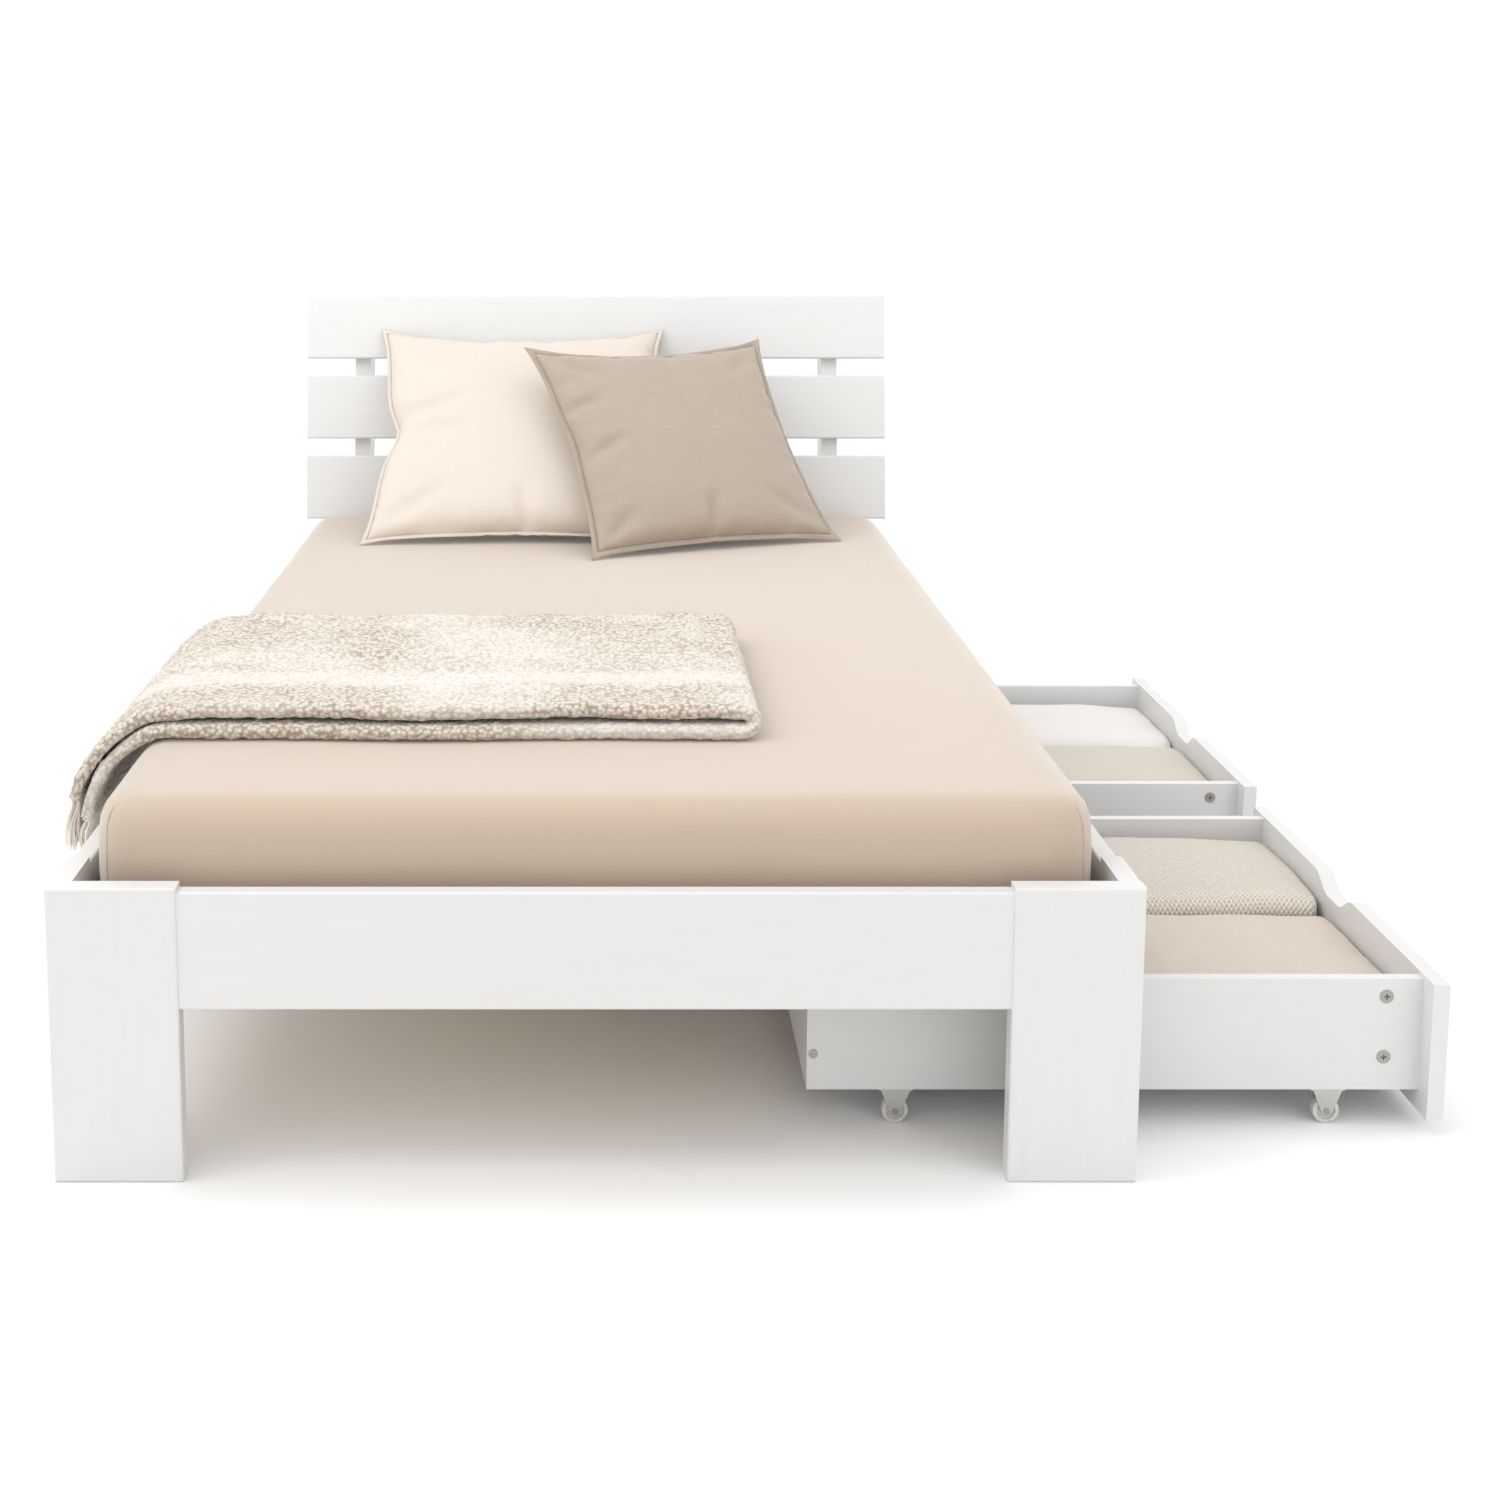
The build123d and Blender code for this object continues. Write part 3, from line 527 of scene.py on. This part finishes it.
def mattress_and_sheet():
    """The mattress in its ticking, and the fitted sheet drawn over it with corner seams."""
    base_low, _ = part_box("mattress")
    low = Vector((SHEET_LOW.x, SHEET_LOW.y, base_low.z))
    high = SHEET_HIGH
    corner, edge = mm(62), mm(36)
    cover = ticking("mattress_ticking", TICKING)
    mattress = mattress_shell(
        "mattress_core", low, high, corner, edge, inset=mm(2.8), step=mm(25), material=cover
    )
    declare(mattress, "bed", "mattress_ticking", "mattress")

    cotton = woven_cotton("sheet_cotton", SHEET, spacing=mm(0.7), slub=0.05, crumple=0.12, sheen=1.0)
    sheet = mattress_shell("sheet", low, high, corner, edge, inset=0.0, step=mm(16), material=cotton)
    hem_z = low.z + mm(9)
    shape = bmesh.new()
    shape.from_mesh(sheet.data)
    under = [face for face in shape.faces if face.calc_center_median().z < hem_z]
    bmesh.ops.delete(shape, geom=under, context="FACES")
    shape.to_mesh(sheet.data)
    shape.free()
    thicken(sheet, mm(1.2), offset=-1.0)
    declare(sheet, "bed", "sheet_cotton", "fitted_sheet")

    seams = []
    steps = 30
    height = high.z - hem_z - mm(8)
    for x, y in ((low.x, low.y), (high.x, low.y), (low.x, high.y), (high.x, high.y)):
        line = []
        for i in range(steps + 1):
            z = hem_z + mm(2) + height * i / steps
            place, out = rounded(x, y, z, low, high, corner, edge)
            line.append(place + mattress_relief(place, out, low, high))
        seams.append(line)
    seam = cord_curve("sheet_corner_seams", seams, mm(1.1), cotton)
    declare(seam, "bed", "sheet_cotton")


# --- Pillows --------------------------------------------------------------------------------
def pillow_cloth(name, size, fullness, material, seed):
    """Two square layers of cloth that share their outline. Returns the piece and its outline."""
    cells = 52
    cloth_apart = 0.2
    index = {}
    points = []
    cloth = []
    for side in (-1, 1):
        for i in range(cells + 1):
            for j in range(cells + 1):
                rim = i in (0, cells) or j in (0, cells)
                if rim and side == 1:
                    index[(side, i, j)] = index[(-1, i, j)]
                    continue
                u, v = 2 * i / cells - 1, 2 * j / cells - 1
                crown = ((1 - u * u) * (1 - v * v)) ** 0.7
                wobble = mm(8) * ripple(u, v, side, scale=2.6, seed=seed)
                depth = side * (0.4 * fullness * crown + mm(1)) + wobble * crown
                index[(side, i, j)] = len(points)
                points.append((u * size / 2, 0.0 if rim else depth, v * size / 2))
                cloth.append((u * size / 2 + side * cloth_apart, v * size / 2))
    faces = []
    for side in (-1, 1):
        for i in range(cells):
            for j in range(cells):
                quad = [index[(side, i + a, j + b)] for a, b in ((0, 0), (1, 0), (1, 1), (0, 1))]
                faces.append(quad if side == -1 else quad[::-1])
    across = range(cells)
    rim = [(i, 0) for i in across] + [(cells, j) for j in across]
    rim += [(cells - i, cells) for i in across] + [(0, cells - j) for j in across]
    return new_piece(name, points, faces, material, cloth), [index[(-1, i, j)] for i, j in rim]


def inflate(piece, thickness):
    """Lets air pressure fill a closed cloth a little past a thickness, and applies the result."""
    frames = 20
    filled = thickness * 0.62
    cloth = piece.modifiers.new("cloth", "CLOTH")
    settings = cloth.settings
    settings.quality = 6
    settings.mass = 0.25
    settings.tension_stiffness = 22
    settings.compression_stiffness = 12
    settings.shear_stiffness = 6
    settings.bending_stiffness = 0.6
    settings.use_pressure = True
    settings.uniform_pressure_force = 4.0
    settings.effector_weights.gravity = 0.0
    cloth.point_cache.frame_start = 1
    cloth.point_cache.frame_end = frames
    for step in range(1, frames + 1):
        scene.frame_set(step)
        shape = piece.evaluated_get(bpy.context.evaluated_depsgraph_get())
        depth = max(abs(vertex.co.y) for vertex in shape.data.vertices)
        if depth > filled:
            break
    settle(piece)
    scene.frame_set(1)


def crease(u, v, start, end, width):
    """A narrow groove along a line from start to end, deepest in its middle, from 0 to 1."""
    line = Vector(end) - Vector(start)
    offset = Vector((u, v)) - Vector(start)
    share = offset.dot(line) / line.length_squared
    if not 0 < share < 1:
        return 0.0
    aside = (offset - line * share).length / width
    return math.exp(-aside * aside) * math.sin(math.pi * share) ** 0.7


def pucker(u, v, seed):
    """How deep the seam gathers the cloth: short folds that run in from the edge, from 0 to 1."""
    reach = 0.075
    from_edge = (1 - max(abs(u), abs(v))) / reach
    along, side = (u, 1.0) if abs(v) > abs(u) else (v, 2.0)
    folds = max(ripple(along, side * math.copysign(1.0, u + v), scale=7.5, seed=seed), 0.0)
    return folds * from_edge * math.exp(1 - from_edge)


def shape_pillow(piece, size, thickness, creases, pinch, drawn_in, seed):
    """Brings an inflated pillow to its size, draws its sides in, and presses in its creases.

    A crease is a start, an end and a width in shares of half the pillow, and a depth. pinch is
    the height and depth of a dent in the left side, and drawn_in the shares by which the two
    sides and the top curve inwards."""
    pinch_height, pinch_depth = pinch
    sides, top = drawn_in
    mesh = piece.data
    reach = max(max(abs(v.co.x), abs(v.co.z)) for v in mesh.vertices)
    depth = max(abs(v.co.y) for v in mesh.vertices)
    for vertex in mesh.vertices:
        place = vertex.co
        place.x *= size / 2 / reach
        place.z *= size / 2 / reach
        place.y *= thickness / 2 / depth
        u, v = 2 * place.x / size, 2 * place.z / size
        gathered = mm(12) * pucker(u, v, seed)
        place.y -= math.copysign(min(gathered, abs(place.y) * 0.5), place.y)
        for start, end, width, pressed in creases:
            groove = pressed * crease(u, v, start, end, width)
            place.y -= math.copysign(min(groove, abs(place.y) * 0.6), place.y)
        place.x *= 1 - sides * (1 - v * v)
        place.z -= top * size / 2 * smoothstep(v) * (1 - u * u)
        near_side = smoothstep((-u - 0.1) / 0.9)
        place.x += pinch_depth * near_side * math.exp(-(((v - pinch_height) / 0.22) ** 2))
    mesh.update()


def outward(line, k):
    """The direction away from a closed flat line at one of its points, longer at corners."""
    before, here, after = line[k - 1], line[k], line[(k + 1) % len(line)]
    first = (here - before).normalized()
    second = (after - here).normalized()
    side = Vector((first.z + second.z, 0.0, -first.x - second.x)).normalized()
    return side / max(0.5, math.sqrt((1 + first.dot(second)) / 2))


def flange(name, line, width, material, seed):
    """The flat sewn border of a pillow, as a closed strip round its outline."""
    thickness = mm(1.1)
    tucked = -mm(1.5)
    back = [(tucked, -1), (width * 0.5, -1), (width, -0.4)]
    section = back + [(reach, -face) for reach, face in reversed(back)]
    points = []
    cloth = []
    length = 0.0
    for k, place in enumerate(line):
        side = outward(line, k)
        flutter = mm(2.2) * ripple(*place, scale=16.0, seed=seed)
        length += (place - line[k - 1]).length
        for reach, face in section:
            share = max(reach, 0.0) / width
            points.append(place + side * reach + Vector((0, face * thickness + flutter * share, 0)))
            cloth.append((length, reach + face * mm(10)))
    count = len(section)
    total = len(line)
    faces = []
    for k in range(total):
        after = (k + 1) % total
        for i in range(count):
            j = (i + 1) % count
            faces.append((k * count + i, k * count + j, after * count + j, after * count + i))
    return new_piece(name, points, faces, material, cloth)


def stitches(name, line, reach, pitch, material):
    """A row of short raised stitches on both faces of a flange."""
    lift = mm(1.3)
    rows = []
    travelled = 0.0
    following = 0.0
    for k, place in enumerate(line):
        after = line[(k + 1) % len(line)]
        stretch = (after - place).length
        while following < travelled + stretch:
            share = (following - travelled) / stretch
            side = outward(line, k).lerp(outward(line, (k + 1) % len(line)), share)
            middle = place.lerp(after, share) + side * reach
            run = (after - place).normalized() * pitch * 0.3
            for face in (Vector((0, -lift, 0)), Vector((0, lift, 0))):
                rows.append([middle - run + face, middle + run + face])
            following += pitch
        travelled += stretch
    return cord_curve(name, rows, mm(0.35), material)


def make_pillow(
    name, node, size, thickness, lean, yaw, foot, border, rows, material, slot, creases, pinch,
    drawn_in, seed
):
    """A filled square pillow with a sewn border, standing on its lower edge and leaning back."""
    inner = size - 2 * border
    body, rim = pillow_cloth(name, inner * 1.04, thickness, material, seed)
    inflate(body, thickness)
    shape_pillow(body, inner, thickness, creases, pinch, drawn_in, seed)
    line = [body.data.vertices[k].co.copy() for k in rim]
    edge = flange(name + "_border", line, border, material, seed)
    sewing = [
        stitches("%s_stitches_%d" % (name, row), line, reach, mm(4.2), material)
        for row, reach in enumerate(rows)
    ]
    refine(body)
    stand = (
        Matrix.Translation((BED_X + foot[0], SHEET_HIGH.y - foot[1], MATTRESS_TOP))
        @ Matrix.Rotation(math.radians(yaw), 4, "Z")
        @ Matrix.Rotation(math.radians(-lean), 4, "X")
        @ Matrix.Translation((0, 0, size / 2))
    )
    lowest = min((stand @ v.co).z for v in edge.data.vertices)
    lift = Matrix.Translation((0, 0, MATTRESS_TOP + mm(1.5) - lowest))
    for piece in (body, edge, *sewing):
        piece.data.transform(lift @ stand)
        declare(piece, "bed", slot)
    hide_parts(node)
    return body


def press_clear(soft, hard, gap):
    """Dents a soft piece where another one presses into it."""
    search = mm(50)
    tree = BVHTree.FromObject(hard, bpy.context.evaluated_depsgraph_get())
    for vertex in soft.data.vertices:
        touch, normal, _, _ = tree.find_nearest(vertex.co, search)
        if touch and (vertex.co - touch).dot(normal) < 0:
            vertex.co = touch + normal * gap
    soft.data.update()


def pillows():
    """The cream pillow against the headboard, and the taupe one against it."""
    cream = woven_cotton("cream_cotton", CREAM, spacing=mm(1.1), slub=0.07, crumple=0.25, sheen=0.25)
    taupe = woven_cotton("taupe_cotton", TAUPE, spacing=mm(1.2), slub=0.16, crumple=0.25, sheen=0.35)
    back = make_pillow(
        "cream_pillow",
        "pillow_cream",
        size=mm(604),
        thickness=mm(130),
        lean=51.0,
        yaw=0.0,
        foot=(mm(-158), mm(384)),
        border=mm(7),
        rows=(mm(2.6),),
        material=cream,
        slot="cream_cotton",
        creases=(
            ((-1.0, -0.02), (-0.35, 0.2), 0.05, mm(12)),
            ((-0.98, -0.06), (-0.3, -0.16), 0.045, mm(10)),
            ((-0.9, 0.86), (-0.45, 0.5), 0.05, mm(8)),
            ((-0.9, -0.9), (-0.45, -0.6), 0.05, mm(9)),
            ((0.1, -1.0), (0.02, -0.62), 0.05, mm(8)),
            ((0.9, -0.9), (0.5, -0.5), 0.05, mm(8)),
        ),
        pinch=(-0.04, mm(24)),
        drawn_in=(0.012, 0.075),
        seed=3.0,
    )
    front = make_pillow(
        "taupe_pillow",
        "pillow_taupe",
        size=mm(520),
        thickness=mm(118),
        lean=45.5,
        yaw=21.6,
        foot=(mm(237), mm(441)),
        border=mm(10),
        rows=(mm(3.0), mm(5.6)),
        material=taupe,
        slot="taupe_cotton",
        creases=(
            ((-1.0, 0.3), (-0.6, 0.4), 0.045, mm(14)),
            ((-0.98, -0.2), (-0.52, -0.02), 0.045, mm(14)),
            ((-0.92, 0.9), (-0.5, 0.6), 0.05, mm(10)),
            ((-0.92, -0.92), (-0.62, -0.7), 0.05, mm(12)),
            ((-0.02, -1.0), (0.04, -0.6), 0.045, mm(14)),
            ((0.92, -0.9), (0.5, -0.6), 0.05, mm(10)),
            ((0.9, 0.9), (0.55, 0.55), 0.05, mm(8)),
        ),
        pinch=(0.0, mm(5)),
        drawn_in=(0.03, 0.06),
        seed=11.0,
    )
    gap = mm(1)
    press_clear(back, front, gap)
    for board in ("headboard_board_top", "headboard_board_middle"):
        press_clear(back, nodes[board], gap)
    for piece in (back, front):
        keep_above(piece, MATTRESS_TOP + gap, sink=0.02)


# --- Folded cloths --------------------------------------------------------------------------
def smooth_line(points, count):
    """A smooth line through points in a plane, with a count of steps between them."""
    ends = [points[0] * 2 - points[1], *points, points[-1] * 2 - points[-2]]
    made = []
    for before, start, end, after in zip(ends, ends[1:], ends[2:], ends[3:]):
        for i in range(count):
            t = i / count
            slope = end - before
            bend = before * 2 - start * 5 + end * 4 - after
            twist = start * 3 - before - end * 3 + after
            made.append((start * 2 + slope * t + bend * t * t + twist * t**3) / 2)
    return made + [points[-1]]


def folded_cloth(name, path, across, gap, thickness, step, relief, place, material):
    """A cloth folded double along one edge, then laid along a path with turns.

    path is a list of points in the plane of the second fold, across the places of the first
    fold and of the free edges, and gap(share) half the distance between the two layers.
    place(a, b, z) turns points of the plane into points in the room, and relief(share, a, b, z)
    lifts them. Returns the piece, its two end rows of points, and its width and length laid flat."""
    folded, free = across
    direction = math.copysign(1.0, free - folded)
    runs = max(2, round(abs(free - folded) / step))
    lengths = [0.0]
    for first, second in zip(path, path[1:]):
        lengths.append(lengths[-1] + (second - first).length)
    points = []
    cloth = []
    rows = []
    turn = 6
    for k, spot in enumerate(path):
        ahead = path[min(k + 1, len(path) - 1)] - path[max(k - 1, 0)]
        normal = Vector((-ahead.y, ahead.x)).normalized()
        share = lengths[k] / lengths[-1]
        half = gap(share)
        reaches = [half + (abs(free - folded) - half) * i / runs for i in range(1, runs + 1)]
        angles = [math.pi * i / turn for i in range(turn + 1)]
        section = [(folded + direction * reach, -half) for reach in reversed(reaches)]
        section += [
            (folded + direction * half * (1 - math.sin(angle)), -half * math.cos(angle))
            for angle in angles
        ]
        section += [(folded + direction * reach, half) for reach in reaches]
        row = []
        width = 0.0
        for i, (b, offset) in enumerate(section):
            at = spot + normal * offset
            point = place(at.x, b, at.y)
            point.z += relief(share, at.x, b, at.y)
            if i:
                width += math.hypot(b - section[i - 1][0], offset - section[i - 1][1])
            row.append(len(points))
            points.append(point)
            cloth.append((lengths[k], width))
        rows.append(row)
    faces = []
    for first, second in zip(rows, rows[1:]):
        for i in range(len(first) - 1):
            faces.append((first[i], first[i + 1], second[i + 1], second[i]))
    ends = [[points[i] for i in rows[0]], [points[i] for i in rows[-1]]]
    piece = new_piece(name, points, faces, material, cloth)
    thicken(piece, thickness, offset=0.0)
    return piece, ends, (width, lengths[-1])


def roughen(piece, height, scale, seed):
    """Raises small lumps all over a piece, like loops of yarn."""
    mesh = piece.data
    normals = [vertex.normal.copy() for vertex in mesh.vertices]
    for vertex, normal in zip(mesh.vertices, normals):
        lump = abs(ripple(*vertex.co, scale=scale, seed=seed))
        vertex.co += normal * height * (2 * lump - 0.5)
    mesh.update()


def throw_path(low, high, right, bottom):
    """The line of the folded throw, seen from the foot end: up the side, across, and back."""
    layer = (high - low) / 2
    lower, upper = low + layer / 2, high - layer / 2
    edge = SHEET_LOW.x
    inner = [
        (edge - mm(66), bottom + mm(45)),
        (edge - mm(60), bottom + mm(72)),
        (edge - mm(42), bottom + mm(108)),
        (edge - mm(13), lower - mm(22)),
        (edge + mm(26), lower - mm(1)),
        (edge + mm(80), lower),
    ]
    outer = [
        (edge + mm(60), upper - mm(1)),
        (edge + mm(10), upper - mm(6)),
        (edge - mm(30), upper - mm(32)),
        (edge - mm(57), bottom + mm(122)),
        (edge - mm(74), bottom + mm(94)),
        (edge - mm(81), bottom + mm(72)),
    ]
    steps = 110
    turn_steps = 9
    hanging_steps = 6
    turn = Vector((right - layer, (lower + upper) / 2))
    path = smooth_line([Vector(point) for point in inner], hanging_steps)
    start = path[-1].x
    path += [Vector((start + (turn.x - start) * i / steps, lower)) for i in range(1, steps + 1)]
    for i in range(1, turn_steps):
        angle = math.pi * (i / turn_steps - 0.5)
        bulge = 1.0 + 0.15 * math.cos(angle)
        path.append(turn + Vector((math.cos(angle) * bulge, math.sin(angle))) * layer / 2)
    end = outer[0][0]
    path += [Vector((turn.x - (turn.x - end) * i / steps, upper)) for i in range(steps)]
    return path + smooth_line([Vector(point) for point in outer], hanging_steps)


def tassel_thread(root, length, lowest, source):
    """One loose thread of a tassel, hanging from its root and swaying a little."""
    steps = 5
    lean = Vector((source.uniform(-0.22, 0.02), source.uniform(-0.14, 0.14), -1)).normalized()
    reach = length * source.uniform(0.85, 1.0)
    strand = []
    for i in range(steps + 1):
        share = i / steps
        sway = mm(1.8) * math.sin(7 * share + source.uniform(0, 1.5))
        spot = root + lean * reach * share + Vector((sway, sway, 0))
        spot.z = max(spot.z, lowest)
        strand.append(spot)
    return strand


def tassels(name, hems, lowest, material):
    """Knotted tassels of loose threads along the hems of the throw."""
    source = random.Random(5)
    spacing = mm(9.5)
    knot_top = Vector((mm(1), 0, mm(3)))
    knot_foot = Vector((-mm(1), 0, -mm(4)))
    strands = []
    knots = []
    for hem, length in hems:
        travelled = 0.0
        following = mm(4)
        for first, second in zip(hem, hem[1:]):
            stretch = (second - first).length
            while following < travelled + stretch:
                root = first.lerp(second, (following - travelled) / stretch)
                knots.append([root + knot_top, root + knot_foot])
                strands += [tassel_thread(root, length, lowest, source) for _ in range(4)]
                following += spacing
            travelled += stretch
    fringe = cord_curve(name, strands, mm(1.3), material)
    binding = cord_curve(name + "_knots", knots, mm(2.6), material)
    return fringe, binding


def throw():
    """The looped-yarn throw, folded twice, across the foot of the bed and over its side."""
    low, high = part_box("throw_blanket")
    yarn = boucle("throw_boucle", THROW, THROW_GAP_SHADE, THROW_WORN, high.y - low.y)
    base = MATTRESS_TOP + mm(0.8)

    def gap(share):
        """Half the distance between the layers: closer together where the throw hangs."""
        lying = smoothstep(share / 0.1) * smoothstep((1 - share) / 0.1)
        return mm(3.4) + mm(2.4) * lying

    def relief(share, a, b, z):
        """The upper layers' furrow, waves, raised right-hand fold and lumpy near edge."""
        upper = smoothstep((share - 0.49) * 12)
        lying = smoothstep(share / 0.14) * smoothstep((1 - share) / 0.14)
        valley = low.y + mm(300) + 0.05 * (a - BED_X) + mm(20) * ripple(a, 0.0, scale=3.0)
        towards_left = smoothstep((mm(250) - (a - BED_X)) * 1.8)
        furrow = mm(8) * towards_left * math.exp(-(((b - valley) / mm(14)) ** 2))
        wave = mm(3.5) * ripple(a, b, z, scale=8.0, seed=2.0)
        loop = mm(6) * math.exp(-(((a - high.x + mm(50)) / mm(50)) ** 2))
        near = 1 - smoothstep((b - low.y) / mm(100))
        roll = near * mm(3) * (1 + ripple(a, z, scale=7.0, seed=5.0))
        return upper * lying * (wave + loop + roll - furrow)

    def place(a, b, z):
        """Points in the room, with near and far edges that wander a little."""
        fade = mm(120)
        near = 1 - smoothstep((b - low.y) / fade)
        far = smoothstep((b - high.y) / fade + 1)
        upper = smoothstep((z - base - mm(12)) / mm(12))
        wander = mm(11) * ripple(a, z, scale=4.0, seed=7.0)
        shift = near * (wander + mm(8) * upper + mm(6)) + far * (wander - mm(8))
        return Vector((a, b + shift, z))

    path = throw_path(base, high.z, high.x, low.z)
    piece, hems, flat = folded_cloth(
        "throw", path, (low.y, high.y), gap, mm(8.5), mm(7.1), relief, place, yarn
    )
    roughen(piece, height=mm(2.1), scale=74.0, seed=1.0)
    keep_above(piece, base, left_end=SHEET_LOW.x + mm(40))
    plain = woven_cotton("fringe_yarn", FRINGE, spacing=mm(2), slub=0.1, crumple=0.1, sheen=0.3)
    lengths = (mm(46), mm(74))
    fringe, knots = tassels("throw_fringe", list(zip(hems, lengths)), low.z + mm(1), plain)
    declare(piece, "bed", "throw_boucle", "throw_blanket")
    for part in (fringe, knots):
        declare(part, "bed", "throw_boucle")


def stack_path(low, high, passes):
    """A zigzag line that fills a stack from its bottom to its top."""
    pitch = (high.z - low.z) / passes
    source = random.Random(passes)
    steps = 30
    turn_steps = 6
    uneven = mm(6)
    path = []
    for k in range(passes):
        z = low.z + pitch * (k + 0.5)
        start = low.y + pitch * 0.75 + source.uniform(0, uneven)
        end = high.y - pitch * 0.75 - source.uniform(0, uneven)
        run = [Vector((start + (end - start) * i / steps, z)) for i in range(steps + 1)]
        if k % 2:
            run.reverse()
        if k:
            middle = (path[-1] + run[0]) / 2
            outwards = 1 if k % 2 else -1
            for i in range(1, turn_steps):
                angle = math.pi * (i / turn_steps - 0.5)
                spread = Vector((math.cos(angle) * outwards, math.sin(angle))) * pitch / 2
                path.append(middle + spread)
        path += run
    return path


def folded_textile(name, node, body, slot, passes, crown, material):
    """A folded textile in a drawer: folded double, then in a zigzag of passes, with a crowned top."""
    low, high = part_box(node)
    pitch = (high.z - low.z) / passes
    middle = (low + high) / 2
    size = high - low
    inset_low = low + Vector((0, 0, mm(0.5)))
    inset_high = high - Vector((0, 0, crown + mm(1)))

    def gap(share):
        """Half the distance between the two layers, the same all along."""
        return pitch / 4

    def relief(share, a, b, z):
        """A crowned top, lower at its edges, with soft lumps."""
        level = (z - low.z) / size.z
        u = min(abs(b - middle.x) / (size.x / 2), 1.0)
        v = min(abs(a - middle.y) / (size.y / 2), 1.0)
        dome = (1 - u**3) * (1 - v**3) - 0.35
        lumps = 0.5 * ripple(a, b, z * 0.5, scale=11.0, seed=passes)
        return crown * smoothstep(level * 1.3) * (dome + lumps * 0.6)

    def place(a, b, z):
        """Points in the room, with rounded corners in plan."""
        v = min(abs(a - middle.y) / (size.y / 2), 1.0)
        pull = 1 - 0.05 * v**8 + 0.006 * ripple(z, a, scale=30.0)
        return Vector((middle.x + (b - middle.x) * pull, a, z))

    path = stack_path(inset_low, inset_high, passes)
    across = (high.x - mm(3), low.x + mm(4))
    piece, _, flat = folded_cloth(
        name, path, across, gap, pitch * 0.42, mm(11), relief, place, material
    )
    keep_above(piece, low.z + mm(0.3))
    declare(piece, body, slot, node)


def drawer_textiles():
    """The folded blanket, sheets and quilt that lie in the two drawers."""
    knit = knitted("beige_knit", KNIT, gauge=mm(5.6))
    linen = woven_cotton("blush_linen", LINEN, spacing=mm(1.4), slub=0.16, crumple=0.9, sheen=0.2)
    quilt = woven_cotton("white_quilt", QUILT, spacing=mm(1.2), slub=0.04, crumple=1.0, sheen=0.3)
    stacks = (
        ("folded_linen", "drawer_near_linen", "drawer_near", "blush_linen", 6, mm(10), linen),
        ("folded_knit_near", "drawer_near_knit", "drawer_near", "beige_knit", 5, mm(12), knit),
        ("folded_knit_far", "drawer_far_knit", "drawer_far", "beige_knit", 4, mm(12), knit),
        ("folded_quilt", "drawer_far_quilt", "drawer_far", "white_quilt", 3, mm(16), quilt),
    )
    for name, node, body, slot, passes, crown, material in stacks:
        folded_textile(name, node, body, slot, passes, crown, material)


# --- Stage, light and camera ----------------------------------------------------------------
def stage():
    """A plain pale floor and even white light."""
    bpy.ops.mesh.primitive_plane_add(size=60)
    floor = bpy.context.object
    floor.name = "floor"
    shader = Shader("floor_white", roughness=0.9)
    cloudy = shader.noise(shader.place(), 0.7)
    shade = shader.ramp(cloudy, (0.3, (0.945, 0.945, 0.945)), (0.7, (0.955, 0.955, 0.955)))
    floor.data.materials.append(shader.done(shade))

    world = bpy.data.worlds.new("studio")
    scene.world = world
    world.use_nodes = True
    background = world.node_tree.nodes["Background"]
    background.inputs["Color"].default_value = (1.0, 1.0, 1.0, 1.0)
    background.inputs["Strength"].default_value = 1.08
    scene.view_settings.view_transform = "Standard"


def area_light(name, place, target, size, power):
    """A soft rectangular lamp that faces a point."""
    data = bpy.data.lights.new(name, "AREA")
    data.size = size
    data.energy = power
    lamp = bpy.data.objects.new(name, data)
    scene.collection.objects.link(lamp)
    lamp.location = place
    lamp.rotation_euler = (Vector(target) - Vector(place)).to_track_quat("-Z", "Y").to_euler()


def lights():
    """A large key lamp high on the left, a fill from the front right, and a lamp for the headboard."""
    centre = (BED_X, 0.0, 0.4)
    headboard = (BED_X, -FOOT_Y, 0.7)
    area_light("key", (BED_X - 2.2, FOOT_Y + 0.2, 3.6), centre, size=2.6, power=55)
    area_light("fill", (BED_X + 3.0, FOOT_Y - 2.4, 2.2), centre, size=3.0, power=12)
    above = (BED_X + 0.3, -FOOT_Y - 1.7, 2.3)
    area_light("headboard_light", above, headboard, size=1.4, power=9)


def camera():
    """The photograph's view: straight from the foot end, looking a little down on the mattress."""
    looking_down = 8.08
    data = bpy.data.cameras.new("camera")
    data.sensor_width = 36.0
    data.lens = 49.3
    data.shift_x = 0.102
    data.shift_y = -0.2
    made = bpy.data.objects.new("camera", data)
    scene.collection.objects.link(made)
    made.location = (BED_X + 0.002, FOOT_Y - 2.284, 1.201)
    made.rotation_euler = (math.radians(90 - looking_down), 0.0, 0.0)
    scene.camera = made


stage()
lights()
camera()
dress_frame()
mattress_and_sheet()
pillows()
throw()
drawer_textiles()
